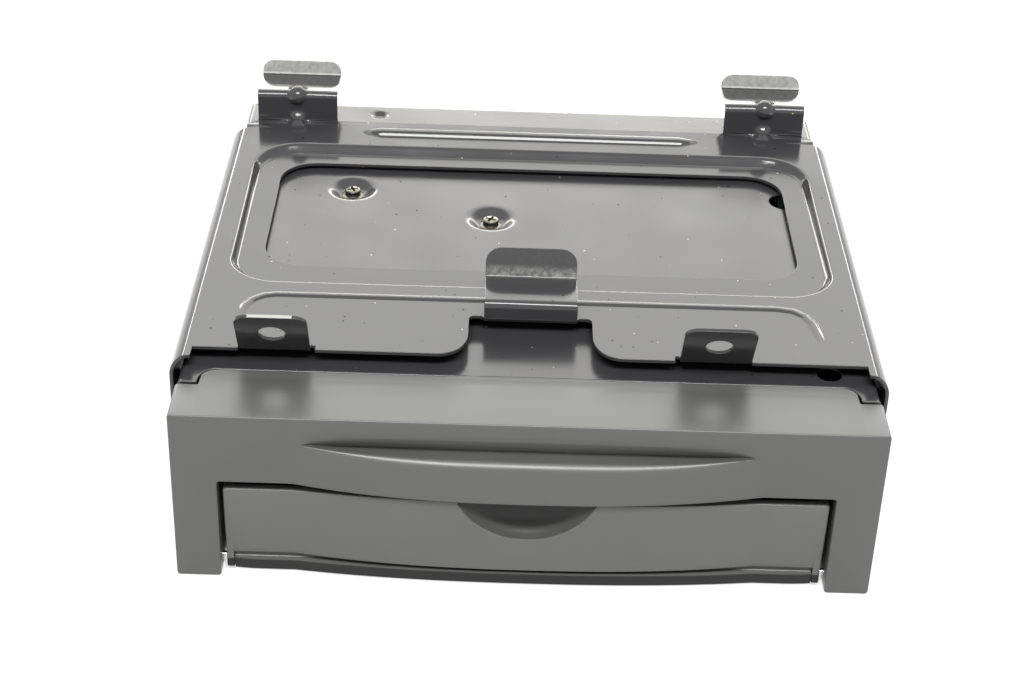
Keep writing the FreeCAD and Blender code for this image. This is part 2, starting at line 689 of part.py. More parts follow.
def hook(middle, width, front, rise, reach, tab, lean, radius, folded_back=False):
    """A riser, a strip that falls to the rear and a raised tab. The riser's sheet comes from in
    front of it, or, folded back, from behind it."""
    thick = size.plate_sheet
    low = size.plate_height - thick
    strip = size.plate_height + rise - thick
    back = front + thick + reach
    slope = math.radians(lean)
    end = strip - reach * math.tan(math.radians(size.hook_tilt))
    start = [(front - 6, low), (front + thick, low)]
    if folded_back:
        start = [(front + 8, low + thick), (front + thick, low + thick)]
    path = start + [(front + thick, strip), (back, end),
                    (back + tab * math.sin(slope), end + tab * math.cos(slope))]
    bent = ribbon(path, thick, 1.0, width, middle)
    top = end + thick * math.sin(slope) + tab * math.cos(slope)
    return bent.common(front_mask(middle - width / 2, low - 1, middle + width / 2, top, radius))


def ear(middle):
    thick = size.plate_sheet
    low = size.plate_height - thick
    slope = math.radians(size.ear_lean)
    reach = size.ear_length
    front = size.plate_front + 0.4
    path = [(front + 5, low), (front, low),
            (front - reach * math.sin(slope), low + reach * math.cos(slope))]
    path = path[::-1]
    bent = ribbon(path, thick, 1.2, size.ear_width, middle)
    top = low + reach * math.cos(slope) + thick * math.sin(slope)
    half = size.ear_width / 2
    bent = bent.common(front_mask(middle - half, low - 1, middle + half, top, 3.2))
    centre = Vector(middle, front - 8.6 * math.sin(slope), low + 8.6 * math.cos(slope))
    normal = Vector(0, math.cos(slope), math.sin(slope))
    hole = Part.makeCylinder(size.ear_hole_radius, 8, centre - normal * 4, normal)
    return bent.cut(hole)


def ridge(path, width, top_width, low, high):
    """A pressed ridge along the path: a tapered prism, wide at the sheet and narrow on top."""
    def border(half):
        sides = ([], [])
        for index, (x, y) in enumerate(path):
            here = Vector(x, y, 0)
            into = here - Vector(*path[index - 1], 0) if index > 0 else None
            out = Vector(*path[index + 1], 0) - here if index < len(path) - 1 else None
            into = (into or out).normalize()
            out = (out or into).normalize()
            left = Vector(-into.y, into.x, 0)
            miter = (left + Vector(-out.y, out.x, 0)).normalize()
            step = miter * (half / miter.dot(left))
            if index == 0:
                here = here - out * half
            if index == len(path) - 1:
                here = here + into * half
            sides[0].append((here.x - step.x, here.y - step.y))
            sides[1].append((here.x + step.x, here.y + step.y))
        return sides[0] + sides[1][::-1]
    return tapered(border(width / 2), low, border(top_width / 2), high)


def make_bracket():
    body = new_body("Bracket")
    thick = size.plate_sheet
    half = size.bracket_width / 2
    crease = half - size.rail_radius
    front, rear = size.plate_front, size.plate_rear
    notch = size.hook_width / 2 + size.notch_width
    slot = size.hook_front + 2 * thick + 0.1
    pad(body, "XY_Plane",
        [(-crease, front), (-notch - 13.3, front, 7), (-notch - 3.6, front + 4.8, 7),
         (-notch, front + 13.2, 5), (-notch, slot, 1.7), (notch, slot, 1.7),
         (notch, front + 13.2, 5), (notch + 3.6, front + 4.8, 7), (notch + 13.3, front, 7),
         (crease, front), (crease, rear - 3), (crease - 3, rear), (-crease + 3, rear),
         (-crease, rear - 3)], "plate_height - plate_sheet", "plate_sheet")
    for side in (-1, 1):
        rail = [(side * (crease - 1), size.plate_height),
                (side * half, size.plate_height, size.rail_radius),
                (side * half, size.flange_bottom), (side * (half - thick), size.flange_bottom),
                (side * (half - thick), size.plate_height - thick, size.rail_radius - thick),
                (side * (crease - 1), size.plate_height - thick)]
        pad(body, "XZ_Plane", rail[::side], "rail_front", "rail_rear - rail_front")
    for middle in (size.ear_left, size.ear_right):
        for side in (-1, 1):
            x = middle + side * (size.ear_width / 2 + 0.9)
            slit = [(x - 0.9, front - 2), (x + 0.9, front - 2), (x + 0.9, front + 3),
                    (x - 0.9, front + 3)]
            pocket(body, "XY_Plane", outline(slit), "plate_height - 2", "3")
    shape = body.Shape
    for side in (-1, 1):
        for depth in bracket_screw_depths():
            place = Placement(Vector(side * half, depth, 28),
                              Rotation(Vector(0, 1, 0), 90 * side))
            shape = dimple(shape, place, thick, (6.9, 4.3, 2.7, 1.7))
    flat_top = size.plate_height
    left, right = -crease + 4.9, crease - 4.1
    edge_front = front + size.panel_front
    edge_back = rear - size.panel_back

    def panel(grow, height):
        return rounded(left - grow, edge_front - grow, right + grow, edge_back + grow,
                       size.panel_radius + grow), height

    deep = size.panel_depth
    low_points, low_z = panel(-deep, flat_top - deep)
    high_points, high_z = panel(0.2, flat_top + 0.2)
    void = tapered(low_points, low_z, high_points, high_z)
    skin = tapered(low_points, low_z - thick, panel(0, 0)[0], flat_top - thick)
    shape = shape.fuse(skin).cut(void)
    margin = size.window_margin - deep
    window = flat_face(rounded(left + deep + margin, edge_front + deep + margin + 4,
                               right - deep - margin, edge_back - deep - margin,
                               size.window_radius), flat_top - 6).extrude(Vector(0, 0, 10))
    shape = shape.cut(window)
    length, width = size.rib_length / 2, size.rib_width / 2
    middle = rear - 7.2

    def rib(shrink):
        return [(-length + shrink, middle), (-length + 5 + shrink / 2, middle - width + shrink),
                (length - 5 - shrink / 2, middle - width + shrink), (length - shrink, middle),
                (length - 5 - shrink / 2, middle + width - shrink),
                (-length + 5 + shrink / 2, middle + width - shrink)]

    shape = shape.fuse(tapered(rib(0), flat_top - 0.2, rib(1.2), flat_top + 1.3))
    shape = shape.cut(tapered(rib(0.6), flat_top - thick - 0.1, rib(1.4), flat_top + 0.4))
    path = [(-76, front + 17.5), (-74, front + 24), (-68, front + 27.2),
            (66, front + 27.2), (73, front + 24.5), (76, front + 12)]
    extras = [ridge(path, size.bead_width, 1.2, flat_top - 0.2, flat_top + size.bead_height)]
    for x in (-73.3, 71.7):
        extras.append(ridge([(x, rear - 8), (x, rear - 1.8)], 2.4, 1.0, flat_top - 0.2,
                            flat_top + 0.9))
    extras.append(hook(0, size.hook_width, size.hook_front, size.hook_front_rise,
                       size.hook_front_reach, size.hook_front_tab, 33, 4.0, True))
    for side in (-1, 1):
        extras.append(hook(side * size.rear_hook_side, size.hook_width, rear - thick,
                           size.hook_rear_rise, size.hook_rear_reach, size.hook_rear_tab, 8,
                           3.6))
    extras += [ear(size.ear_left), ear(size.ear_right)]
    shape = shape.fuse(extras)
    finish(holding(shape.removeSplitter()), "mounting_bracket")


def screw(where, axis, sense, head, shank, head_shape):
    """A screw whose head starts at the seat and whose shank goes the other way."""
    seat = dict(zip("xyz", where))
    parts = []
    for shape, (radius, length), forward in ((head_shape, head, sense), (prism, shank, -sense)):
        start = dict(seat)
        if forward < 0:
            start[axis] = "%s - %s" % (seat[axis], length)
        parts.append(shape("%s" % radius, "%s" % length, tuple(start[a] for a in "xyz"), axis))
    return parts


def make_screws(label, places, axis, head, shank, head_shape=prism):
    made = []
    for where, sense in places:
        made.append(fuse(screw(where, axis, sense, head, shank, head_shape)))
    finish(group(made), label)


def make_fasteners():
    places = []
    for side in (-1, 1):
        for depth in bracket_screw_depths():
            places.append((("%d * (bracket_width / 2 - 2.7)" % side, "%.4f" % depth, "28"), side))
    make_screws("bracket_screws", places, "x", (3.7, 1.8), (1.5, 5.5), rod)
    places = [(("%.2f" % x, "%.2f" % y, "case_top - 2.6"), 1) for x, y in dimple_places()]
    make_screws("cover_screws", places, "z", (3.4, 1.9), (1.45, 6.5), rod)
    places = [(("%.2f" % x, "%.2f" % y, "mech_plate_height + mech_sheet"), 1)
              for x, y in foot_places()]
    make_screws("mech_screws", places, "z", (3.2, 1.6), (1.5, 7.0))
    places = [(("%d * board_screw_side" % side, "%d" % y, "main_board_height + board_sheet"), 1)
              for side in (-1, 1) for y in BOARD_SCREW_DEPTHS]
    make_screws("board_screws", places, "z", (2.4, 1.4), (1.25, 4.0))


# Mechanism: damped frame, spindle, clamp, loading roller with its gears, and the pickup

ROLLER_HEIGHT = "disc_height - 0.6 - roller_radius"


def roller_height():
    return size.disc_height - 0.6 - size.roller_radius


def gear_places():
    """Centres of the three gears in the side view, roller, idler and pinion."""
    first = size.gear_module * (size.roller_teeth + size.idler_teeth) / 2
    second = size.gear_module * (size.idler_teeth + size.pinion_teeth) / 2
    roller = (size.roller_depth, roller_height())
    idler_z = roller[1] + 2.5
    idler = (roller[0] + math.sqrt(first ** 2 - 2.5 ** 2), idler_z)
    pinion_z = 9.0
    pinion = (idler[0] + math.sqrt(second ** 2 - (idler_z - pinion_z) ** 2), pinion_z)
    return roller, idler, pinion


def make_frame():
    body = new_body("Frame")
    half = size.mech_half_width
    inner = half - size.mech_sheet
    plate = [(-half, size.mech_front), (-inner + 1.4, size.mech_front), (-inner + 1.4, 33),
             (inner - 1.4, 33), (inner - 1.4, size.mech_front), (half, size.mech_front),
             (half, size.mech_rear), (-half, size.mech_rear)]
    pad(body, "XY_Plane", plate, "mech_plate_height", "mech_sheet")
    for side in (-1, 1):
        flange = [(size.mech_front, size.mech_plate_height), (64, size.mech_plate_height),
                  (64, 16), (50, 20.6), (size.mech_front, 20.6)]
        pad(body, "YZ_Plane", flange,
            "mech_half_width - mech_sheet" if side > 0 else "-mech_half_width", "mech_sheet")
        ear_plate = [(142, size.mech_plate_height), (154, size.mech_plate_height),
                     (154, 21), (152, 23), (144, 23), (142, 21)]
        pad(body, "YZ_Plane", ear_plate, "40.8" if side > 0 else "-40.8 - mech_sheet",
            "mech_sheet")
        pocket(body, "YZ_Plane", circle(148, 19.3, 1.5 + size.run_gap), "38" if side > 0 else "-44",
               "6")
        roller = gear_places()[0]
        pocket(body, "YZ_Plane", circle(roller[0], roller[1], 1.0 + size.run_gap),
               "63" if side > 0 else "-69", "6")
    idler, pinion = gear_places()[1:]
    pocket(body, "YZ_Plane", facets(idler[0], idler[1], 1.0), "63", "6")
    pocket(body, "YZ_Plane", facets(pinion[0], pinion[1], 1.6), "63", "6")
    tab = [(size.screw_side - 6, size.mech_plate_height),
           (size.screw_side + 6, size.mech_plate_height), (size.screw_side + 6, 15.4),
           (size.screw_side - 6, 15.4)]
    pad(body, "XZ_Plane", tab, "100", "mech_sheet")
    pocket(body, "XZ_Plane", circle(size.screw_side, size.rod_height, 1.7), "98", "4")
    windows = [rounded(45, 44.6, inner, 58.8, 0), rounded(-44, 44, 30, 68, 0),
               rounded(size.screw_side - 5, 77, size.screw_side + 5, 100, 0),
               rounded(-20, 110, 20, 150, 0), rounded(-62, 70, -36, 140, 0),
               polygon(0, size.disc_centre, 6.5, 12)]
    for window in windows:
        pocket(body, "XY_Plane", outline(window), "mech_plate_height - 1", "mech_sheet + 2")
    for x, y in foot_places():
        pocket(body, "XY_Plane", facets(x, y, 1.6), "mech_plate_height - 1", "mech_sheet + 2")
    finish(body, "mech_frame")
    pads = []
    for x, y in foot_places():
        pads.append(cut(prism("5", "3.4", ("%.1f" % x, "%.1f" % y, "mech_plate_height - 3.4")),
                        [prism("1.7", "6", ("%.1f" % x, "%.1f" % y, "mech_plate_height - 5"))]))
    finish(group(pads), "damper_grommets")


def make_spindle():
    motor = cut(fuse([rod("13", "5.6", ("0", "disc_centre", "mech_plate_height - 5.6")),
                      rod("5.8", "1.6", ("0", "disc_centre", "mech_plate_height - 0.2"))]),
                [rod("1.5 + run_gap", "12", ("0", "disc_centre", "0"))])
    finish(motor, "spindle_motor")
    top = size.disc_height - 0.6
    body = turned("Table", [(0, 3), (1.5, 3), (1.5, top - 1.8), (size.platter_radius, top - 1.8),
                            (size.platter_radius, top), (7.4, top), (7.4, top + 0.9),
                            (5, top + 2.8), (0, top + 2.8)])
    put(body, ("0", "disc_centre", "0"))
    finish(body, "turntable")
    clamper = turned("Clamper", [(8.2, 19.6), (14, 19.6), (14, 21.2), (9.6, 21.2), (9.6, 23.0),
                                 (12, 23.0), (12, 24.2), (0, 24.2), (0, 23.2), (8.2, 23.2)])
    put(clamper, ("0", "disc_centre", "0"))
    finish(clamper, "disc_clamper")


def make_clamp():
    body = new_body("ClampArm")
    y = size.disc_centre
    arm = [(-19, y - 8), (-8, y - 19), (8, y - 19), (19, y - 8), (19, y + 12), (38, y + 48),
           (38, y + 63), (-38, y + 63), (-38, y + 48), (-19, y + 12)]
    pad(body, "XY_Plane", arm, "21.5", "1.2")
    pocket(body, "XY_Plane", circle(0, y, 10.0), "20", "5")
    pocket(body, "XY_Plane", outline([(-8, y + 24), (8, y + 24), (16, y + 50),
                                      (-16, y + 50)]), "20", "5")
    for side in (-1, 1):
        lug = [(143, 22.6), (143, 18.6), (145, 17), (151, 17), (153, 18.6), (153, 22.6)]
        pad(body, "YZ_Plane", lug, "36.8" if side > 0 else "-38", "1.2")
    pocket(body, "YZ_Plane", circle(148, 19.3, 1.5 + size.run_gap), "-60", "120")
    finish(body, "clamp_arm")
    finish(rod("1.5", "84.4", ("-42.2", "148", "19.3"), "x"), "clamp_arm_pin")
    spring = wound("1.6", "2", "4", ("-36.6", "148", "19.3"))
    finish(spring, "clamp_arm_spring")


def gear_outline(teeth, phase):
    """Straight-flanked teeth that mesh without touching, as (y, z) points about the centre."""
    pitch = size.gear_module * teeth / 2
    outer = pitch + size.gear_module * 0.85
    root = pitch - size.gear_module * 1.15
    step = 2 * math.pi / teeth
    points = []
    for index in range(int(teeth)):
        for share, radius in ((-0.29, root), (-0.09, outer), (0.09, outer), (0.29, root)):
            angle = phase + step * (index + share)
            points.append((radius * math.cos(angle), radius * math.sin(angle)))
    return points


def make_loader():
    roller, idler, pinion = gear_places()
    finish(box(("2 * mech_half_width - 2 * mech_sheet - 0.2", "17", "2"),
               ("-mech_half_width + mech_sheet + 0.1", "mech_front", "18.5")), "disc_guide")
    depth = "roller_depth"
    finish(rod("1", "mech_half_width * 2 + 6", ("-mech_half_width - 1", depth, ROLLER_HEIGHT),
               "x"), "roller_shaft")
    sleeves = []
    for side in (-1, 1):
        sleeve = turned("Sleeve", [(1.0, 4), (3.2, 4), (3.2, 20), (4.0, 62), (1.0, 62)])
        sleeve.Placement = Placement(Vector(), Rotation(Vector(0, 1, 0), 90 * side))
        put(sleeve, ("0", depth, ROLLER_HEIGHT))
        sleeves.append(sleeve)
    finish(group(sleeves), "loading_roller")
    toward_idler = math.atan2(idler[1] - roller[1], idler[0] - roller[0])
    toward_pinion = math.atan2(pinion[1] - idler[1], pinion[0] - idler[0])
    first, second, third = size.roller_teeth, size.idler_teeth, size.pinion_teeth
    idler_phase = toward_idler + math.pi + math.pi / second
    turns = (toward_pinion - idler_phase) * second / (2 * math.pi)
    pinion_phase = toward_pinion + math.pi - (turns - 0.5) * 2 * math.pi / third
    bores = {"roller_gear": 1.04, "idler_gear": 1.0 + size.run_gap, "motor_pinion": 0.64}
    wheels = (("roller_gear", first, toward_idler, roller),
              ("idler_gear", second, idler_phase, idler),
              ("motor_pinion", third, pinion_phase, pinion))
    for label, teeth, phase, place in wheels:
        body = new_body("Gear")
        points = [(y + place[0], z + place[1]) for y, z in gear_outline(teeth, phase)]
        pad(body, "YZ_Plane", points, "mech_half_width + 1.8", "gear_width")
        pocket(body, "YZ_Plane", circle(place[0], place[1], bores[label]),
               "mech_half_width", "gear_width + 4")
        finish(body, label)
    finish(fuse([rod("1", "5.6", ("mech_half_width - mech_sheet", "%.4f" % idler[0],
                                  "%.4f" % idler[1]), "x"),
                 rod("1.7", "0.5", ("mech_half_width + 4.5", "%.4f" % idler[0],
                                    "%.4f" % idler[1]), "x")]), "idler_pin")
    where = ("%.4f" % pinion[0], "%.4f" % pinion[1])
    finish(fuse([rod("6", "19.9", ("mech_half_width - mech_sheet - 19.9",) + where, "x"),
                 rod("1.5", "2", ("mech_half_width - mech_sheet - 0.2",) + where, "x"),
                 rod("0.6", "6.2", ("mech_half_width - mech_sheet",) + where, "x")]),
           "loading_motor")


def make_pickup():
    rods = [rod("rod_radius", "55", ("%d * rod_side" % side, "101", "rod_height"), "y")
            for side in (-1, 1)]
    finish(group(rods), "guide_rods")
    holders = []
    for x in ("-rod_side", "rod_side"):
        for y in ("99", "154"):
            block = box(("6", "4", "5"), (x + " - 3", y, "mech_plate_height + mech_sheet"))
            hole = prism("rod_radius * 1.0824", "57",
                         (x, "101" if y == "99" else "100", "rod_height"), "y")
            holders.append(cut(block, [hole]))
    block = box(("6", "4", "5"), ("screw_side - 3", "154", "mech_plate_height + mech_sheet"))
    holders.append(cut(block, [rod("1.5 + run_gap", "6", ("screw_side", "153", "rod_height"),
                                   "y")]))
    finish(group(holders), "rod_holders")
    body = new_body("Sled")
    shape = [(-31, 105), (31, 105), (31, 112), (40, 112), (40, 118), (31, 118), (31, 125),
             (-31, 125)]
    pad(body, "XY_Plane", shape, "rod_height - 1.9", "4.2")
    for x in (-size.rod_side, size.rod_side):
        pocket(body, "XZ_Plane", circle(x, size.rod_height, size.rod_radius + size.run_gap),
               "100", "30")
    pocket(body, "XZ_Plane", circle(size.screw_side, size.rod_height, 1.5 + size.run_gap),
           "100", "30")
    pocket(body, "XY_Plane", outline(rounded(-19, 108, -7, 122, 0)), "rod_height + 0.6", "4")
    pocket(body, "XY_Plane", outline(rounded(8, 108, 20, 122, 0)), "rod_height + 0.6", "4")
    finish(body, "pickup_sled")
    lens = turned("Objective", [(0, 0), (4.6, 0), (4.6, 0.7), (2.6, 0.7), (1.5, 1.3), (0, 1.45)])
    put(lens, ("0", "116", "rod_height + 2.3"))
    finish(lens, "pickup_lens")
    finish(rod("1.5", "58", ("screw_side", "100", "rod_height"), "y"), "lead_screw")
    motor = [rod("4.2", "19.9", ("screw_side", "80", "rod_height"), "y"),
             rod("1.6", "1.1", ("screw_side", "79", "rod_height"), "y")]
    finish(fuse(motor), "sled_motor")


# Electronics

def make_electronics():
    finish(box(("60", "88", "1.2"), ("-80", "50", "3")), "drive_board")
    chips = [box(("16", "16", "1.4"), ("-62", "76", "4.2")),
             box(("10", "14", "1.6"), ("-38", "104", "4.2")),
             box(("22", "5", "2.4"), ("-60", "54", "4.2"))]
    finish(group(chips), "drive_chips")
    board = new_body("MainBoard")
    half = size.board_half
    pad(board, "XY_Plane", rounded(-half, size.board_front, half, size.board_rear, 0),
        "main_board_height", "board_sheet")
    for side in (-1, 1):
        for y in BOARD_SCREW_DEPTHS:
            pocket(board, "XY_Plane", facets(side * size.board_screw_side, y, 1.3),
                   "main_board_height - 1", "board_sheet + 2")
    for x, y in dimple_places():
        pocket(board, "XY_Plane", facets(x, y, 1.6), "main_board_height - 1", "board_sheet + 2")
    finish(board, "main_board")
    deck = "main_board_height + board_sheet"
    chips = [box(("27", "27", "2.2"), ("14", "74", deck)),
             box(("12", "18", "1.2"), ("48", "70", deck)),
             box(("12", "18", "1.2"), ("48", "94", deck)),
             box(("18", "18", "1.6"), ("-40", "62", deck)),
             box(("10", "8", "1.6"), ("-72", "96", deck))]
    finish(group(chips), "processor_chips")
    cans = [prism("4", "9.5", ("%d" % x, "%d" % y, deck), "z", 12)
            for x, y in ((-78, 152), (-66, 152), (-54, 152), (-42, 152))]
    finish(group(cans), "capacitors")
    can = box(("40", "26", "7.4"), ("-2", "136", deck))
    finish(can, "receiver_shield")
    fins = [box(("32", "16", "1.6"), ("46", "136", deck))]
    fins += [box(("1.6", "16", "9"), ("%.1f" % (46 + 5.06 * index), "136", deck))
             for index in range(7)]
    finish(fuse(fins), "heat_sink")
    posts = []
    for x, y in dimple_places():
        body = new_body("Post")
        pad(body, "XY_Plane", polygon(x, y, 3.0, 6), deck,
            "case_top - 2.6 - cover_sheet - main_board_height - board_sheet")
        pocket(body, "XY_Plane", facets(x, y, 1.45), deck + " + 1", "12")
        posts.append(body)
    finish(group(posts), "board_posts")
    cable = [box(("0.4", "20", "main_board_height - 4.4"), ("-75.2", "98", "4.3")),
             box(("4", "22", "2.4"), ("-77", "97", "4.2")),
             box(("4", "22", "2.4"), ("-77", "97", "main_board_height - 2.4"))]
    finish(fuse(cable), "ribbon_cable")


make_bezel()
make_flap()
make_hinge()
make_fascia()
make_eject()
make_chassis()
make_cover()
make_rear()
make_bracket()
make_fasteners()
make_frame()
make_spindle()
make_clamp()
make_loader()
make_pickup()
make_electronics()
doc.recompute()

os.makedirs("parts", exist_ok=True)
for thing in doc.Objects:
    if "Invalid" in thing.State or "Error" in thing.State:
        raise ValueError("%s (%s) did not build" % (thing.Name, thing.Label))
for piece in pieces:
    if piece.Shape.isNull() or not piece.Shape.isValid():
        raise ValueError("%s has a broken shape" % piece.Label)
    piece.Shape.exportStep("parts/%s.step" % piece.Label)
print("pieces:", len(pieces))
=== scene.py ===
"""Looks of a car disc reader: pressed bracket, lid, moulded bezel and flap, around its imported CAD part.

Every length below is in millimetres in the drawing's own frame, X to the right, Y away from the
bezel's face and Z up from the floor. Meshes are turned to metres and shifted by MIDDLE at the end.
"""

import math

import bpy
import bmesh
import numpy as np
from mathutils import Matrix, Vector
from mathutils.geometry import delaunay_2d_cdt


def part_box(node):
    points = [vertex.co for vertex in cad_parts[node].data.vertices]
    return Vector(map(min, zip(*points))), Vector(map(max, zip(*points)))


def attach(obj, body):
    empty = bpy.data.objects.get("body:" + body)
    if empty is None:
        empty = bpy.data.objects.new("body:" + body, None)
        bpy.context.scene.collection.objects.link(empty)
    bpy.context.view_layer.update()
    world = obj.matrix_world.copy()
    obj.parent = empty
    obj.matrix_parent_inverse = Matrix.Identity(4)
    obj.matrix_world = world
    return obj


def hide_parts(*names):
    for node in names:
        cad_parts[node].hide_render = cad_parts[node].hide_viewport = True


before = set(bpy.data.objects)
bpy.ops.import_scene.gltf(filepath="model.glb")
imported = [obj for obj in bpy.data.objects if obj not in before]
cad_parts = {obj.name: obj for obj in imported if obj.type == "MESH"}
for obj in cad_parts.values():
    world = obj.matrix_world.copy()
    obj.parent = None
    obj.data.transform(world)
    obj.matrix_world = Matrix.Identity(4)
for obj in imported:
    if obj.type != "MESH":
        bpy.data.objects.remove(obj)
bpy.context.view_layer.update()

bl_info = {
    "name": "Disc reader looks",
    "version": (1, 0, 0),
    "blender": (4, 5, 0),
    "location": "3D view > Sidebar > Reader",
    "description": "Builds the visible skin of a slot disc reader around its CAD part",
    "category": "Add Mesh",
}

MM = 0.001
MIDDLE = 91.05
IMAGE_WIDTH = 1024


def tone(code):
    """Linear colour of an sRGB hex code."""
    shares = np.array([int(code[i:i + 2], 16) / 255 for i in (1, 3, 5)])
    linear = np.where(shares <= 0.04045, shares / 12.92, ((shares + 0.055) / 1.055) ** 2.4)
    return tuple(float(v) for v in linear)


def length(name, note, default, low=0.0, high=500.0):
    return bpy.props.FloatProperty(name=name, description=note, default=default * MM,
                                   min=low * MM, max=high * MM, unit="LENGTH", precision=5)


def colour(name, note, code):
    return bpy.props.FloatVectorProperty(name=name, description=note, default=tone(code),
                                         min=0.0, max=1.0, size=3, subtype="COLOR")


class ReaderSizes(bpy.types.PropertyGroup):
    """Sizes of the visible pieces."""

    bracket_sheet: length("Bracket sheet", "Thickness of the bracket's steel", 1.0)
    lid_sheet: length("Lid sheet", "Thickness of the lid's steel", 0.8)
    edge_roll: length("Edge roll", "Radius left on a sheared edge by tumbling and coating", 0.16)
    plate_height: length("Plate height", "Height of the bracket's top face", 55.0)
    lid_height: length("Lid height", "Height of the lid's top face", 50.6)
    panel_depth: length("Panel depth", "How far the bracket's panel is sunk", 2.2)
    bezel_bow: length("Bezel bow", "How far the header and flap bow forward at the middle", 3.9)
    brow_depth: length("Brow depth", "Depth of the recess over the bulge", 3.5)
    bezel_wall: length("Bezel wall", "Wall of the moulded bezel", 2.2)
    mould_roll: length("Mould roll", "Edge radius of the moulded parts", 0.42)
    hook_tilt: bpy.props.FloatProperty(name="Hook tilt", description="Fall of the hook strips",
                                       default=math.radians(4), subtype="ANGLE")


class ReaderColours(bpy.types.PropertyGroup):
    """Base colours of the finishes."""

    bezel: colour("Bezel", "Moulded charcoal plastic", "#595958")
    flap: colour("Flap", "Moulded charcoal plastic of the flap", "#646463")
    coating: colour("Coating", "Baked coating on the bracket", "#3b3a3c")
    lid: colour("Lid", "Baked coating on the lid", "#3b3a3c")
    zinc: colour("Zinc", "Galvanised chassis", "#b4b5b6")
    nickel: colour("Nickel", "Plated screws", "#6d6960")
    dust: colour("Dust", "Fine grit on the top faces", "#b9a88c")


# Flat shapes

def rounded(corners, inset=0.0, arc=5):
    """Closed loop through corners of x, y, radius and parts of the side that follows, anticlockwise.

    Each side moves inward by inset, so an outer arc shrinks and an inner arc grows; an arc is its
    start turned about its centre in equal steps.
    """
    table = np.array([tuple(c) + (0.0, 1.0)[len(c) - 2:] for c in corners], float)
    place, radius, parts = table[:, :2], table[:, 2], table[:, 3].astype(int)
    away = np.roll(place, -1, 0) - place
    away /= np.linalg.norm(away, axis=1)[:, None]
    into = np.roll(away, 1, 0)
    left_in = into[:, ::-1] * (-1, 1)
    left_out = away[:, ::-1] * (-1, 1)
    turn = np.arctan2(into[:, 0] * away[:, 1] - into[:, 1] * away[:, 0], (into * away).sum(1))
    miter = (left_in + left_out) / (1 + (left_in * left_out).sum(1))[:, None]
    corner = place + inset * miter
    bend = np.where(radius > 0, np.maximum(radius - inset * np.sign(turn), 0.03), 0.0)
    reach = bend * np.tan(np.abs(turn) / 2)
    start = corner - into * reach[:, None]
    end = corner + away * reach[:, None]
    loop = []
    for i in range(len(table)):
        if bend[i] > 0:
            centre = start[i] + left_in[i] * bend[i] * np.sign(turn[i])
            arm = start[i] - centre
            angle = np.linspace(0, turn[i], arc + 1)
            c, s = np.cos(angle), np.sin(angle)
            loop.append(centre + np.stack([arm[0] * c - arm[1] * s, arm[0] * s + arm[1] * c], 1))
        else:
            loop.append(corner[i][None])
        if parts[i] > 1:
            share = (np.arange(1, parts[i]) / parts[i])[:, None]
            loop.append(end[i] + (start[(i + 1) % len(table)] - end[i]) * share)
    return np.concatenate(loop)


def frame_of(low_x, low_y, high_x, high_y, radius=0.0, parts=1):
    return [(low_x, low_y, radius, parts), (high_x, low_y, radius, parts),
            (high_x, high_y, radius, parts), (low_x, high_y, radius, parts)]


def ring(x, y, radius, count=40):
    """Circle as a closed loop: radius times cosine and sine of equal angle steps."""
    angle = np.linspace(0, 2 * math.pi, count, endpoint=False)
    return np.stack([x + radius * np.cos(angle), y + radius * np.sin(angle)], 1)


def closed(loop):
    return np.concatenate([loop, loop[:1]])


def lattice(low_x, high_x, count_x, low_y, high_y, count_y):
    x, y = np.meshgrid(np.linspace(low_x, high_x, count_x), np.linspace(low_y, high_y, count_y))
    return np.stack([x.ravel(), y.ravel()], 1)


def within(spots, loop):
    """Which spots lie inside the loop: a ray to the right crosses it an odd number of times."""
    inside = np.zeros(len(spots), bool)
    x, y = spots[:, 0], spots[:, 1]
    for (ax, ay), (bx, by) in zip(loop.tolist(), np.roll(loop, -1, 0).tolist()):
        if ay != by:
            inside ^= ((ay > y) != (by > y)) & (x < (bx - ax) * (y - ay) / (by - ay) + ax)
    return inside


def triangles(loops, rows=(), dots=None):
    """Flat mesh inside the first loop and outside the others, with an edge along every row."""
    points, edges, count = [], [], 0
    for line, shut in [(loop, True) for loop in loops] + [(row, False) for row in rows]:
        index = np.arange(len(line)) + count
        pairs = np.stack([index, np.roll(index, -1)], 1)
        edges.append(pairs if shut else pairs[:-1])
        points.append(line)
        count += len(line)
    if dots is not None:
        points.append(dots)
    found = delaunay_2d_cdt(np.concatenate(points).tolist(), np.concatenate(edges).tolist(),
                            [], 0, 1e-5)
    flat = np.array([tuple(p) for p in found[0]], float)
    faces = np.array([f for f in found[2] if len(f) == 3], int)
    middle = flat[faces].mean(1)
    keep = within(middle, loops[0])
    for hole in loops[1:]:
        keep &= ~within(middle, hole)
    faces = faces[keep]
    a, b, c = flat[faces[:, 0]], flat[faces[:, 1]], flat[faces[:, 2]]
    area = (b[:, 0] - a[:, 0]) * (c[:, 1] - a[:, 1]) - (b[:, 1] - a[:, 1]) * (c[:, 0] - a[:, 0])
    faces = np.where(area[:, None] < 0, faces[:, ::-1], faces)[np.abs(area) > 1e-9]
    used, faces = np.unique(faces, return_inverse=True)
    return flat[used], faces.reshape(-1, 3)


# Height features, each a function of the flat place

def step(share, soft=0.12):
    """Rises from 0 to 1 as share goes from 0 to 1; each end is a parabola across twice soft, so
    the slope is exactly none beyond it."""
    def ramp(value):
        bend = np.clip(value + soft, 0, 2 * soft)
        return bend ** 2 / (4 * soft) + np.maximum(value - soft, 0)
    return ramp(share) - ramp(share - 1)


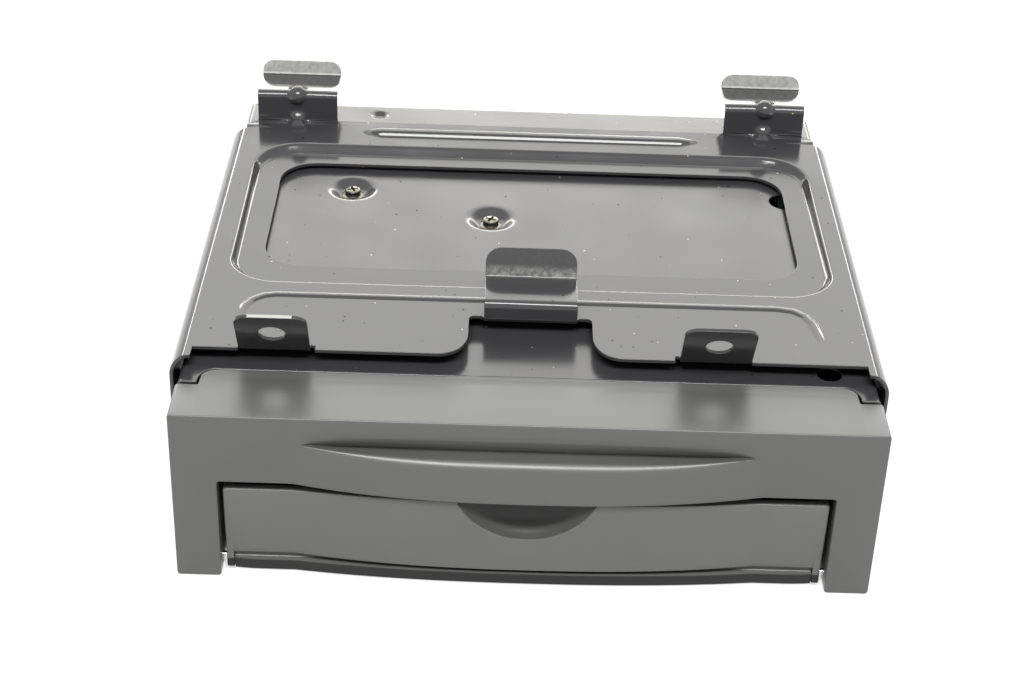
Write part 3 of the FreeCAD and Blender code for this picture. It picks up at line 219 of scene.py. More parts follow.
def box_distance(x, y, low_x, low_y, high_x, high_y, radius):
    """How far inside a rounded rectangle a place is; negative outside."""
    across = np.abs(x - (low_x + high_x) / 2) - (high_x - low_x) / 2 + radius
    along = np.abs(y - (low_y + high_y) / 2) - (high_y - low_y) / 2 + radius
    outer = np.hypot(np.maximum(across, 0), np.maximum(along, 0))
    return radius - outer - np.minimum(np.maximum(across, along), 0)


def path_distance(x, y, path):
    """Distance to a broken line: the least distance to any of its pieces."""
    best = np.full(x.shape, 1e9)
    for (ax, ay), (bx, by) in zip(path[:-1], path[1:]):
        run = np.array([bx - ax, by - ay])
        share = np.clip(((x - ax) * run[0] + (y - ay) * run[1]) / (run @ run), 0, 1)
        best = np.minimum(best, np.hypot(x - ax - share * run[0], y - ay - share * run[1]))
    return best


def beside(path, reach):
    """Closed loop round a smooth broken line at a set distance, its ends half circles."""
    path = np.array(path, float)
    away = np.gradient(path, axis=0)
    away /= np.linalg.norm(away, axis=1)[:, None]
    left = away[:, ::-1] * (-1, 1)
    angle = np.linspace(0, math.pi, 7)[1:-1, None]
    nose = path[-1] + reach * (np.cos(angle) * -left[-1] + np.sin(angle) * away[-1])
    tail = path[0] + reach * (np.cos(angle) * left[0] - np.sin(angle) * away[0])
    return np.concatenate([path - left * reach, nose, (path + left * reach)[::-1], tail])


def bent(path, radius, arc=8):
    """Open line through the path with each inner corner rounded, and its running length."""
    path = [np.array(p, float) for p in path]
    line = [path[0][None]]
    for before, here, after in zip(path[:-2], path[1:-1], path[2:]):
        into = (here - before) / np.linalg.norm(here - before)
        out = (after - here) / np.linalg.norm(after - here)
        turn = math.atan2(into[0] * out[1] - into[1] * out[0], float(into @ out))
        start = here - into * radius * math.tan(abs(turn) / 2)
        side = np.array([-into[1], into[0]]) * radius * math.copysign(1, turn)
        angle = np.linspace(0, turn, arc + 1)
        arm = -side
        c, s = np.cos(angle), np.sin(angle)
        line.append(start + side + np.stack([arm[0] * c - arm[1] * s,
                                             arm[0] * s + arm[1] * c], 1))
    line.append(path[-1][None])
    line = np.concatenate(line)
    run = np.concatenate([[0], np.cumsum(np.linalg.norm(np.diff(line, axis=0), axis=1))])
    return line, run


# Meshes

def corner_normals(points, faces):
    """Unit normal at each point: the area-weighted sum of its faces' normals."""
    a, b, c = points[faces[:, 0]], points[faces[:, 1]], points[faces[:, 2]]
    face = np.cross(b - a, c - a)
    total = np.zeros_like(points)
    for corner in range(3):
        np.add.at(total, faces[:, corner], face)
    size = np.linalg.norm(total, axis=1)[:, None]
    return total / np.where(size > 0, size, 1)


def pressed(middle, faces, sheet, roll, arc=3):
    """Sheet steel from its middle surface: two skins half a sheet away along the normals, joined
    by an edge whose section is a straight with a quarter circle at each side."""
    normal = corner_normals(middle, faces)
    tail = faces.ravel()
    head = np.roll(faces, -1, 1).ravel()
    count = len(middle)
    rim = ~np.isin(tail * count + head, head * count + tail)
    tail, head = tail[rim], head[rim]
    after = np.zeros(count, int)
    before = np.zeros(count, int)
    after[tail] = head
    before[head] = tail
    outward = np.cross(middle[after[tail]] - middle[before[tail]], normal[tail])
    outward /= np.linalg.norm(outward, axis=1)[:, None]
    half = sheet / 2
    skin = middle.copy()
    skin[tail] -= roll * outward
    angle = np.linspace(0, math.pi / 2, arc + 1)[1:]
    rows = [middle[tail] + outward * roll * (math.sin(a) - 1) +
            normal[tail] * (half - roll + roll * math.cos(a)) for a in angle]
    rows += [middle[tail] + outward * roll * (math.sin(a) - 1) -
             normal[tail] * (half - roll + roll * math.cos(a)) for a in angle[::-1]]
    points = np.concatenate([skin + normal * half] + rows + [skin - normal * half])
    slot = np.zeros(count, int)
    slot[tail] = np.arange(len(tail))
    rings = [tail] + [count + k * len(tail) + np.arange(len(tail)) for k in range(len(rows))]
    low = count + len(rows) * len(tail)
    rings.append(low + tail)
    walls = []
    following = slot[head]
    for upper, lower in zip(rings[:-1], rings[1:]):
        walls.append(np.stack([upper, lower, lower[following]], 1))
        walls.append(np.stack([upper, lower[following], upper[following]], 1))
    return points, np.concatenate([faces, low + faces[:, ::-1]] + walls)


def belt(rings):
    """Triangles between closed rings of equal count, given as an array of rings by points."""
    count, around = rings.shape[:2]
    index = np.arange(count * around).reshape(count, around)
    a, b = index[:-1], index[1:]
    c, d = np.roll(b, -1, 1), np.roll(a, -1, 1)
    return np.concatenate([np.stack([a, b, c], -1).reshape(-1, 3),
                           np.stack([a, c, d], -1).reshape(-1, 3)])


def joined(parts):
    """One mesh from several of points and faces, with places that fall together merged."""
    points, faces, start = [], [], 0
    for spots, index in parts:
        points.append(spots)
        faces.append(index + start)
        start += len(spots)
    points, faces = np.concatenate(points), np.concatenate(faces)
    key = np.round(points / 0.003).astype(np.int64)
    _, first, same = np.unique(key, axis=0, return_index=True, return_inverse=True)
    faces = same.reshape(-1)[faces]
    good = ((faces[:, 0] != faces[:, 1]) & (faces[:, 1] != faces[:, 2])
            & (faces[:, 2] != faces[:, 0]))
    return points[first], faces[good]


def piece(name, points, faces, body, finish, nodes=(), crease=38.0, sheet=False):
    """Blender object from millimetre places, riding on a body and shaded smooth up to a crease; a
    sheet's normals lean to its larger faces, so that its flats stay flat up to their rolled rims."""
    mesh = bpy.data.meshes.new(name)
    mesh.from_pydata(((points - (0, MIDDLE, 0)) * MM).tolist(), [], faces.tolist())
    form = bmesh.new()
    form.from_mesh(mesh)
    bmesh.ops.recalc_face_normals(form, faces=form.faces)
    form.to_mesh(mesh)
    form.free()
    mesh.shade_smooth()
    if sheet:
        place, corner = np.zeros(3 * len(mesh.vertices)), np.zeros(len(mesh.loops), int)
        mesh.vertices.foreach_get("co", place)
        mesh.loops.foreach_get("vertex_index", corner)
        normals = corner_normals(place.reshape(-1, 3), corner.reshape(-1, 3))
        mesh.normals_split_custom_set_from_vertices(normals.tolist())
    else:
        mesh.set_sharp_from_angle(angle=math.radians(crease))
    mesh.materials.append(finish)
    made = bpy.data.objects.new(name, mesh)
    bpy.context.scene.collection.objects.link(made)
    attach(made, body)
    if nodes:
        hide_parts(*nodes)
    return made


def moulded(loops, places, front, back):
    """Closed body: rings through the places of each loop, and a cap on the first and last."""
    rings = np.stack(places)
    return joined([(rings.reshape(-1, 3), belt(rings)), front, back])


# Finishes

def add(tree, kind, values=None, links=None, **settings):
    """One node with its settings, socket values and incoming links."""
    node = tree.nodes.new(kind)
    for key, value in settings.items():
        setattr(node, key, value)
    for socket, value in (values or {}).items():
        node.inputs[socket].default_value = value
    for socket, source in (links or {}).items():
        tree.links.new(source, node.inputs[socket])
    return node


def opaque(shade):
    return (*shade, 1.0)


def started(name):
    finish = bpy.data.materials.new(name)
    finish.use_nodes = True
    tree = finish.node_tree
    tree.nodes.clear()
    shader = add(tree, "ShaderNodeBsdfPrincipled")
    out = add(tree, "ShaderNodeOutputMaterial", links={"Surface": shader.outputs[0]})
    place = add(tree, "ShaderNodeTexCoord").outputs["Object"]
    return finish, tree, shader, out, place


def speckle(tree, place, spacing, share, size):
    """Mask of sparse grit: the cells whose random value is under the share hold one round grain,
    size of the spacing across."""
    cells = add(tree, "ShaderNodeTexVoronoi", {"Scale": 1 / (spacing * MM), "Randomness": 1.0},
                {"Vector": place})
    chosen = add(tree, "ShaderNodeSeparateColor", links={0: cells.outputs["Color"]})
    rare = add(tree, "ShaderNodeMath", {1: share}, {0: chosen.outputs[0]}, operation="LESS_THAN")
    wide = add(tree, "ShaderNodeMath", {1: size}, {0: chosen.outputs[1]}, operation="MULTIPLY")
    near = add(tree, "ShaderNodeMath", None, {0: cells.outputs["Distance"], 1: wide.outputs[0]},
               operation="LESS_THAN")
    both = add(tree, "ShaderNodeMath", None, {0: rare.outputs[0], 1: near.outputs[0]},
               operation="MULTIPLY")
    return both.outputs[0]


def moulded_plastic(name, shade, rough, grain=0.32, lip=0.0):
    """Injection-moulded ABS with spark-eroded grain: a broken satin gleam without sharp images.
    The real grain is near 0.1 mm and is drawn three times coarser so that it shows. On a flap the
    strip below the lip's top and the finger scoop are darkened with painted shade and have less specular."""
    finish, tree, shader, out, place = started(name)
    cloud = add(tree, "ShaderNodeTexNoise", {"Scale": 1 / (14 * MM), "Detail": 3.0},
                {"Vector": place})
    tint = add(tree, "ShaderNodeMix", {6: opaque(np.array(shade) * 0.94),
                                       7: opaque(np.array(shade) * 1.06)},
               {0: cloud.outputs[0]}, data_type="RGBA")
    pits = add(tree, "ShaderNodeTexNoise", {"Scale": 1 / (grain * MM), "Detail": 2.0},
               {"Vector": place})
    bump = add(tree, "ShaderNodeBump", {"Strength": 0.22, "Distance": 0.04 * MM},
               {"Height": pits.outputs[0]})
    gleam = add(tree, "ShaderNodeMapRange", {3: rough - 0.04, 4: rough + 0.05},
                {0: cloud.outputs[0]})
    base = tint.outputs[2]
    # On a flap, painted shade: the strip below the lip's top and the finger scoop are mixed towards 0.3 of
    # the shade, standing for the shade under the flap and inside the scoop.
    if lip:
        height = add(tree, "ShaderNodeSeparateXYZ", links={0: place}).outputs[2]
        below = add(tree, "ShaderNodeMath", {1: lip * MM}, {0: height}, operation="LESS_THAN")
        flat = add(tree, "ShaderNodeMapping", {"Location": (-THUMB[0] * MM, 0, -THUMB[1] * MM),
                                               "Scale": (1, 0, 1)}, {0: place})
        away = add(tree, "ShaderNodeVectorMath", None, {0: flat.outputs[0]}, operation="LENGTH")
        # The painted shade in the scoop is full deep inside and eases to 0.55 at the rim.
        rim = add(tree, "ShaderNodeMapRange", {1: (THUMB[2] - 4.5) * MM, 2: THUMB[2] * MM,
                                               3: 1.0, 4: 0.55}, {0: away.outputs[1]})
        scoop = add(tree, "ShaderNodeMath", {1: (THUMB[2] + 0.02) * MM}, {0: away.outputs[1]},
                    operation="LESS_THAN")
        inside = add(tree, "ShaderNodeMath", None, {0: rim.outputs[0], 1: scoop.outputs[0]},
                     operation="MULTIPLY")
        painted_shade_mask = add(tree, "ShaderNodeMath", None, {0: inside.outputs[0], 1: below.outputs[0]},
                     operation="MAXIMUM")
        base = add(tree, "ShaderNodeMix", {7: opaque(np.array(shade) * 0.3)},
                   {0: painted_shade_mask.outputs[0], 6: base}, data_type="RGBA").outputs[2]
        matt = add(tree, "ShaderNodeMath", None, {0: scoop.outputs[0], 1: below.outputs[0]},
                   operation="MAXIMUM")
        sheen = add(tree, "ShaderNodeMapRange", {3: 0.5, 4: 0.08}, {0: matt.outputs[0]})
        tree.links.new(sheen.outputs[0], shader.inputs["Specular IOR Level"])
    tree.links.new(base, shader.inputs["Base Color"])
    tree.links.new(gleam.outputs[0], shader.inputs["Roughness"])
    tree.links.new(bump.outputs[0], shader.inputs["Normal"])
    shader.inputs["IOR"].default_value = 1.58
    return finish


def baked_coating(name, shade, rough, grit):
    """Electro-dipped and baked black coating on steel: smooth, mirrors at low angles, a faint
    orange peel, rolling marks along the sheet and pale and dark grains of grit all over."""
    finish, tree, shader, out, place = started(name)
    haze = add(tree, "ShaderNodeTexNoise", {"Scale": 1 / (24 * MM), "Detail": 4.0},
               {"Vector": place})
    drawn = add(tree, "ShaderNodeMapping", {"Scale": (1.0, 0.06, 1.0)}, {0: place})
    lines = add(tree, "ShaderNodeTexNoise", {"Scale": 1 / (0.9 * MM), "Detail": 2.0},
                {"Vector": drawn.outputs[0]})
    gleam = add(tree, "ShaderNodeMapRange", {1: 0.3, 2: 0.7, 3: rough - 0.03, 4: rough + 0.05},
                {0: haze.outputs[0]})
    peel = add(tree, "ShaderNodeTexNoise", {"Scale": 1 / (1.6 * MM), "Detail": 1.0},
               {"Vector": place})
    mixed = add(tree, "ShaderNodeMath", {1: 0.35}, {0: lines.outputs[0]}, operation="MULTIPLY")
    height = add(tree, "ShaderNodeMath", None, {0: peel.outputs[0], 1: mixed.outputs[0]},
                 operation="ADD")
    bump = add(tree, "ShaderNodeBump", {"Strength": 0.05, "Distance": 0.03 * MM},
               {"Height": height.outputs[0]})
    tree.links.new(bump.outputs[0], shader.inputs["Normal"])
    shader.inputs["IOR"].default_value = 1.5
    grain = speckle(tree, place, 2.6, 0.26, 0.14)
    base = add(tree, "ShaderNodeMix", {6: opaque(shade), 7: opaque(grit)},
               {0: speckle(tree, place, 3.0, 0.2, 0.1)}, data_type="RGBA")
    dark = add(tree, "ShaderNodeMix", {7: opaque(tone("#1a1612"))},
               {0: grain, 6: base.outputs[2]}, data_type="RGBA")
    sheen = add(tree, "ShaderNodeMapRange", {3: 0.5, 4: 0.05}, {0: grain})
    # Pale colour where the coating is rubbed or dusted, and a painted highlight on the left ear's top
    # edge.
    wear_and_painted_highlight = wear_and_edge_highlight(tree, place)
    colour = add(tree, "ShaderNodeMix", {7: opaque(tone("#b9bab4"))},
                 {0: wear_and_painted_highlight, 6: dark.outputs[2]}, data_type="RGBA")
    dull = add(tree, "ShaderNodeMix", {3: 0.5}, {0: wear_and_painted_highlight, 2: gleam.outputs[0]})
    tree.links.new(colour.outputs[2], shader.inputs["Base Color"])
    tree.links.new(dull.outputs[0], shader.inputs["Roughness"])
    tree.links.new(sheen.outputs[0], shader.inputs["Specular IOR Level"])
    return finish


def wear_and_edge_highlight(tree, place):
    """Mask of worn coating and painted highlight: the rear tabs rubbed pale, powder along the front tab's
    fold, and a painted highlight along the left ear's top edge.
    """
    spots = add(tree, "ShaderNodeTexNoise", {"Scale": 1 / (1.3 * MM), "Detail": 5.0},
                {"Vector": place}).outputs[0]
    split = add(tree, "ShaderNodeSeparateXYZ", links={0: place})
    rubbed = add(tree, "ShaderNodeMapRange", {1: 0.25, 2: 0.6, 3: 0.62, 4: 0.95}, {0: spots})
    behind = add(tree, "ShaderNodeMath", {1: (171.9 - MIDDLE) * MM}, {0: split.outputs[1]},
                 operation="GREATER_THAN")
    high = add(tree, "ShaderNodeMath", {1: 58.5 * MM}, {0: split.outputs[2]},
               operation="GREATER_THAN")
    above = add(tree, "ShaderNodeMath", None, {0: behind.outputs[0], 1: high.outputs[0]},
                operation="MULTIPLY")
    tab = add(tree, "ShaderNodeMath", None, {0: rubbed.outputs[0], 1: above.outputs[0]},
              operation="MULTIPLY")
    powder = add(tree, "ShaderNodeMapRange", {1: 0.36, 2: 0.72, 3: 0.1, 4: 0.5}, {0: spots})
    low = add(tree, "ShaderNodeMapRange", {1: 60.9 * MM, 2: 62.7 * MM, 3: 1.0, 4: 0.05},
              {0: split.outputs[2]})
    front = add(tree, "ShaderNodeMath", {1: (56.3 - MIDDLE) * MM}, {0: split.outputs[1]},
                operation="GREATER_THAN")
    near = add(tree, "ShaderNodeMath", {1: (62.0 - MIDDLE) * MM}, {0: split.outputs[1]},
               operation="LESS_THAN")
    mask = powder.outputs[0]
    for part in (low, front, near, high):
        mask = add(tree, "ShaderNodeMath", None, {0: mask, 1: part.outputs[0]},
                   operation="MULTIPLY").outputs[0]
    # Painted highlight: the left ear's top edge is painted pale, standing in for the light it catches.
    tip = add(tree, "ShaderNodeMath", {1: 69.2 * MM}, {0: split.outputs[2]},
              operation="GREATER_THAN")
    side = add(tree, "ShaderNodeMath", {1: (EARS[0]) * MM, 2: 5.6 * MM}, {0: split.outputs[0]},
               operation="COMPARE")
    edge = add(tree, "ShaderNodeMath", None, {0: tip.outputs[0], 1: side.outputs[0]},
               operation="MULTIPLY")
    for part in (tab, edge):
        mask = add(tree, "ShaderNodeMath", None, {0: part.outputs[0], 1: mask},
                   operation="MAXIMUM").outputs[0]
    return mask


def plain_metal(name, shade, rough, scale=6.0, bump_depth=0.01, spangle=False):
    """Bare or plated metal: zinc shows crystals, turned and plated metal a soft cloudiness and a fine
    bump.
    """
    finish, tree, shader, out, place = started(name)
    shader.inputs["Metallic"].default_value = 1.0
    if spangle:
        grain = add(tree, "ShaderNodeTexVoronoi", {"Scale": 1 / (scale * MM)}, {"Vector": place})
        value = add(tree, "ShaderNodeSeparateColor", links={0: grain.outputs["Color"]}).outputs[0]
    else:
        value = add(tree, "ShaderNodeTexNoise", {"Scale": 1 / (scale * MM), "Detail": 4.0},
                    {"Vector": place}).outputs[0]
    tint = add(tree, "ShaderNodeMix", {6: opaque(np.array(shade) * 0.84),
                                       7: opaque(np.minimum(np.array(shade) * 1.08, 1))},
               {0: value}, data_type="RGBA")
    gleam = add(tree, "ShaderNodeMapRange", {3: rough - 0.05, 4: rough + 0.08}, {0: value})
    fine = add(tree, "ShaderNodeTexNoise", {"Scale": 1 / (0.4 * MM), "Detail": 2.0},
               {"Vector": place})
    bump = add(tree, "ShaderNodeBump", {"Strength": 0.2, "Distance": bump_depth * MM},
               {"Height": fine.outputs[0]})
    tree.links.new(tint.outputs[2], shader.inputs["Base Color"])
    tree.links.new(gleam.outputs[0], shader.inputs["Roughness"])
    tree.links.new(bump.outputs[0], shader.inputs["Normal"])
    return finish


def finishes(shades):
    """Every finish of the object, by the record's slot."""
    made = {
        "bezel_plastic": moulded_plastic("moulded_abs_charcoal", shades.bezel, 0.34),
        "flap_plastic": moulded_plastic("moulded_abs_flap", shades.flap, 0.36, lip=LIP_TOP),
        "inner_plastic": moulded_plastic("moulded_abs_black", tone("#242426"), 0.45),
        "natural_plastic": moulded_plastic("moulded_acetal", tone("#d8d5cb"), 0.32),
        "coated_steel": baked_coating("baked_coating_bracket", shades.coating, 0.11, shades.dust),
        "lid_steel": baked_coating("baked_coating_lid", shades.lid, 0.2, shades.dust),
        "galvanised_steel": plain_metal("galvanised_sheet", shades.zinc, 0.34, 7.0, 0.01, True),
        "bright_steel": plain_metal("turned_steel", tone("#d2d2d3"), 0.22),
        "nickel": plain_metal("nickel_plate", shades.nickel, 0.20, 2.0),
        "brass": plain_metal("turned_brass", tone("#d9b877"), 0.25),
        "can": plain_metal("tinned_can", tone("#c9cacb"), 0.30),
        "felt": moulded_plastic("wool_felt_black", tone("#1b1b1c"), 0.92, 0.5),
        "rubber": moulded_plastic("moulded_rubber", tone("#262627"), 0.62),
        "board": moulded_plastic("solder_mask_green", tone("#1f5a36"), 0.28, 1.2),
        "chip": moulded_plastic("epoxy_black", tone("#222224"), 0.42),
        "connector_plastic": moulded_plastic("moulded_nylon", tone("#cfcabc"), 0.38),
        "clear_lens": moulded_plastic("clear_acrylic", tone("#b9bec4"), 0.06, 3.0),
    }
    return made


FINISH = {}


# Bracket

PANEL = (-83.0, 58.4, 83.8, 141.6, 14.0)
WINDOW = (-74.4, 71.0, 75.2, 133.0, 11.0)
PLATE_MID = 54.5
CREASE = 87.95
CREASE_ROLL, CREASE_TURN = 1.0, math.radians(28)
SHOULDER = (91.8 - CREASE - CREASE_ROLL * math.sin(CREASE_TURN)) / (1 - math.sin(CREASE_TURN))
TURN = CREASE_ROLL * CREASE_TURN + SHOULDER * (math.pi / 2 - CREASE_TURN)
RAIL_TOP = (PLATE_MID - CREASE_ROLL * (1 - math.cos(CREASE_TURN))
            - SHOULDER * math.cos(CREASE_TURN))
FLANGE = RAIL_TOP - 20.0
SPREAD = CREASE + TURN + FLANGE
EARS = (-65.7, 47.6)
EAR_HALF = 9.25
EAR_PATH = [(29.8, 54.5), (25.09, 54.5), (16.48, 69.41)]
HOOK_HALF = 12.3
REAR_HOOKS = (-72.4, 72.4)
BEAD = [(-76, 41.9), (-75.6, 45.4), (-74, 48.4), (-71.4, 50.6), (-68, 51.6), (-40, 51.6),
        (0, 51.6), (40, 51.6), (66, 51.6), (70.4, 50.7), (73.2, 48.2), (74.8, 44.4), (76, 36.4)]
CUPS = ((44.4, 28.0), (131.6, 28.0))


def hook_paths(tilt):
    """Middle lines of the front and rear hooks in the YZ plane, each from inside the plate."""
    fall = math.tan(tilt)
    front = [(48.0, PLATE_MID), (42.0, PLATE_MID), (42.0, 60.1), (56.4, 60.1 - 14.4 * fall),
             (61.0, 67.2 - 14.4 * fall)]
    rear = [(150.6, PLATE_MID), (157.1, PLATE_MID), (157.1, 64.3), (172.6, 64.3 - 15.5 * fall),
            (173.3, 69.2 - 15.5 * fall)]
    return front, rear


def bracket_outline(ear_end, front_end, rear_end):
    """Flat blank of the bracket: plate, side rails, ears, front notch and hooks, laid out by the
    length of sheet that each bend takes."""
    corners = [(-SPREAD, 20, 2.5), (-CREASE + 1.2, 20, 0.5), (-CREASE + 1.2, 24.4, 0.4)]
    for middle in EARS:
        low, high = middle - EAR_HALF, middle + EAR_HALF
        if middle > 0:
            corners += notch_corners(front_end)
        gap = (0.14, 1.1) if middle < 0 else (1.1, 0.14)
        corners += [(low - gap[0], 24.4, 0.05), (low - gap[0], 26.5, 0.04), (low, 26.5, 0.04),
                    (low, ear_end, 3.4), (high, ear_end, 3.4), (high, 26.5, 0.04),
                    (high + gap[1], 26.5, 0.04), (high + gap[1], 24.4, 0.05)]
    corners += [(CREASE - 1.2, 24.4, 0.4), (CREASE - 1.2, 20, 0.5), (SPREAD, 20, 2.5),
                (SPREAD, 151, 2.5), (CREASE - 0.2, 151, 0.5), (CREASE - 0.2, 155.0, 0.8)]
    right, left = REAR_HOOKS[1], REAR_HOOKS[0]
    for middle in (right, left):
        corners += [(middle + HOOK_HALF, 157.4, 0.3), (middle + HOOK_HALF, rear_end, 3.6),
                    (middle - HOOK_HALF, rear_end, 3.6), (middle - HOOK_HALF, 157.4, 0.5)]
    corners += [(-CREASE + 0.2, 155.0, 0.8), (-CREASE + 0.2, 151, 0.5), (-SPREAD, 151, 2.5)]
    return corners


def notch_corners(front_end):
    left = [(-19.6, 24.4, 7.0), (-16.2, 31.5, 12.0), (-16.2, 43.6, 1.7),
            (-HOOK_HALF, 43.6, 1.4), (-HOOK_HALF, front_end, 4.2)]
    right = [(-corner[0], *corner[1:]) for corner in left[::-1]]
    return left + right


def strip_rows(run, start, sense, low, high, between=()):
    """Rows across a strip at every corner point of its middle line."""
    across = np.array([low - 0.5, *between, high + 0.5])
    return [np.stack([across, np.full(len(across), start + sense * r)], 1) for r in run[1:-1]]


def follow(line, run, distance, sense):
    """Place in the YZ plane and upward normal at a distance along a strip's middle line."""
    y = np.interp(distance, run, line[:, 0])
    z = np.interp(distance, run, line[:, 1])
    ahead = np.minimum(distance + 0.05, run[-1])
    behind = np.maximum(ahead - 0.1, 0)
    dy = np.interp(ahead, run, line[:, 0]) - np.interp(behind, run, line[:, 0])
    dz = np.interp(ahead, run, line[:, 1]) - np.interp(behind, run, line[:, 1])
    size = np.hypot(dy, dz)
    return y, z, -sense * dz / size, sense * dy / size


def bracket_height(s, t):
    """How far the press moves the sheet off its plane: sunk panel, ribs, beads, cups and gussets."""
    inside = box_distance(s, t, *PANEL)
    wall = 2.7 - 1.1 * step((np.abs(s) - 66) / 12, 0.5)
    depth = -2.2 * step(inside / wall, 0.18)
    rib = 2.1 - np.abs(t - 150.4) - 2.1 * np.clip((np.abs(s) - 46.5) / 5.5, 0, 9)
    depth += 1.25 * step(rib / 1.1, 0.22)
    fade = step((t - np.where(s < 0, 41.0, 35.6)) / 7.0, 0.2)
    depth += 0.5 * fade * step((1.25 - path_distance(s, t, BEAD)) / 0.8, 0.4)
    for side in (-1, 1):
        for y, z in CUPS:
            away = np.hypot(s - side * (CREASE + TURN + RAIL_TOP - z), t - y)
            depth += -2.7 * step((6.9 - away) / 2.6, 0.15)
        corner = np.exp(-((t - 152.6) / 0.75) ** 2) * step((np.abs(s) - 80.0) / 1.5)
        depth += 0.45 * corner * step((88.4 - np.abs(s)) / 1.0)
    return depth


def make_bracket(sizes):
    """Middle surface of the bent and pressed sheet, as place plus height along the normal."""
    ear_line, ear_run = bent(EAR_PATH, 1.7)
    front_path, rear_path = hook_paths(sizes.hook_tilt)
    front_line, front_run = bent(front_path, 1.5)
    rear_line, rear_run = bent(rear_path, 1.5)
    ear_end, front_end = 29.8 - ear_run[-1], 48.0 - front_run[-1]
    rear_end = 150.6 + rear_run[-1]
    outer = rounded(bracket_outline(ear_end, front_end, rear_end), 0, 9)
    ear_hole = ear_run[-1] - (18.86 - 8.6) + 2.0
    holes = [rounded(frame_of(*WINDOW), 0, 12)]
    holes += [ring(middle, 29.8 - ear_hole, 3.45, 36) for middle in EARS]
    rows = [closed(rounded(frame_of(*PANEL), inset, 12)) for inset in
            (-0.9, -0.65, -0.49, -0.33, -0.16, 0.0, 0.16, 0.33, 0.49, 1.35, 2.21, 2.37, 2.54,
             2.7, 2.86, 3.03, 3.19, 3.4, 3.8)]
    rows += [closed(rounded([(-52 + g, 150.4), (-46.5 + g / 3, 148.3 + g), (46.5 - g / 3, 148.3 + g),
                             (52 - g, 150.4), (46.5 - g / 3, 152.5 - g),
                             (-46.5 + g / 3, 152.5 - g)]))
             for g in (-0.6, -0.3, 0.0, 0.3, 0.6, 0.9, 1.2, 1.6)]
    rows += [closed(beside(BEAD, reach)) for reach in
             (0.13, 0.29, 0.45, 0.61, 0.77, 0.93, 1.09, 1.25, 1.41, 1.57, 1.75, 2.1)]
    for side in (-1, 1):
        for arc in np.concatenate([np.linspace(0, CREASE_ROLL * CREASE_TURN, 5)[:-1],
                                   np.linspace(CREASE_ROLL * CREASE_TURN, TURN, 12)]):
            s = side * (CREASE + arc)
            rows.append(np.array([(s, 19.0), (s, 152.0)]))
        for y, z in CUPS:
            s = side * (CREASE + TURN + RAIL_TOP - z)
            rows += [closed(ring(s, y, r)) for r in
                     (3.6, 4.0, 4.3, 4.6, 5.2, 5.9, 6.5, 6.9, 7.2, 7.8)]
            holes.append(ring(s, y, 1.7, 24))
        rows += [np.array([(side * 79.0, t), (side * 89.5, t)]) for t in
                 np.arange(150.8, 154.6, 0.3)]
    dots = []
    for middle in EARS:
        rows += strip_rows(ear_run, 29.8, -1, middle - EAR_HALF, middle + EAR_HALF)
    rows += strip_rows(front_run, 48.0, -1, -HOOK_HALF, HOOK_HALF)
    corners = [rear_run[np.argmin(np.abs(rear_run - r))] for r in
               (rear_run[5], rear_run[14])]
    for middle in REAR_HOOKS:
        rows += strip_rows(rear_run, 150.6, 1, middle - HOOK_HALF, middle + HOOK_HALF,
                           middle + np.linspace(-3.6, 3.6, 23))
        for corner in corners:
            dots.append(lattice(middle - 3.6, middle + 3.6, 23,
                                150.6 + corner - 4.6, 150.6 + corner + 4.6, 24))
    plane, faces = triangles([outer] + holes, rows, np.concatenate(dots))
    s, t = plane.T
    height = bracket_height(s, t)
    x, y, z = s.copy(), t.copy(), np.full(len(s), PLATE_MID)
    nx, ny, nz = np.zeros(len(s)), np.zeros(len(s)), np.ones(len(s))
    beyond = np.abs(s) - CREASE
    first = np.clip(beyond / CREASE_ROLL, 0, CREASE_TURN)
    angle = first + np.clip((beyond - CREASE_ROLL * CREASE_TURN) / SHOULDER, 0,
                            math.pi / 2 - CREASE_TURN)
    side = np.sign(s)
    bend = beyond > 0
    x = np.where(bend, side * (CREASE + CREASE_ROLL * np.sin(first)
                               + SHOULDER * (np.sin(angle) - np.sin(first))), x)
    z = np.where(bend, PLATE_MID - CREASE_ROLL * (1 - np.cos(first))
                 - SHOULDER * (np.cos(first) - np.cos(angle)) - np.maximum(beyond - TURN, 0), z)
    nx = np.where(bend, side * np.sin(angle), nx)
    nz = np.where(bend, np.cos(angle), nz)
    strips = [(np.abs(s - middle) <= EAR_HALF + 0.05, t < 27.7, ear_line, ear_run, 29.8, -1)
              for middle in EARS]
    strips.append((np.abs(s) <= HOOK_HALF + 0.05, t < 46.0, front_line, front_run, 48.0, -1))
    strips += [(np.abs(s - middle) <= HOOK_HALF + 0.05, t > 152.0, rear_line, rear_run, 150.6, 1)
               for middle in REAR_HOOKS]
    for across, along, line, run, start, sense in strips:
        mask = across & along
        distance = (t[mask] - start) * sense
        y[mask], z[mask], ny[mask], nz[mask] = follow(line, run, distance, sense)
    for middle in REAR_HOOKS:
        for corner, amount in zip(corners, (1.0, 1.0)):
            near = (np.abs(s - middle) < 3.6) & (np.abs(t - 150.6 - corner) < 5)
            bump = 1.5 * (np.exp(-(np.abs(s - middle) / 1.9) ** 3)
                          * np.exp(-((t - 150.6 - corner) / 2.6) ** 4))
            height = height + np.where(near, amount * bump, 0)
    middle_surface = np.stack([x + nx * height, y + ny * height, z + nz * height], 1)
    points, faces = pressed(middle_surface, faces, 1.0, sizes.edge_roll / MM)
    piece("bracket_sheet", points, faces, "case", FINISH["coated_steel"],
          ["mounting_bracket"], sheet=True)


# Lid

DIMPLES = ((-52.8, 121.6), (-11.4, 105.6))
ACCESS = ((76.4, 121.5, 4.9), (77.6, 27.0, 3.2))
LID_BEND = 1.2
LID_CREASE = 89.1 - LID_BEND
LID_TURN = LID_BEND * math.pi / 2
LID_SKIRT = 50.2 - LID_BEND - 34.6


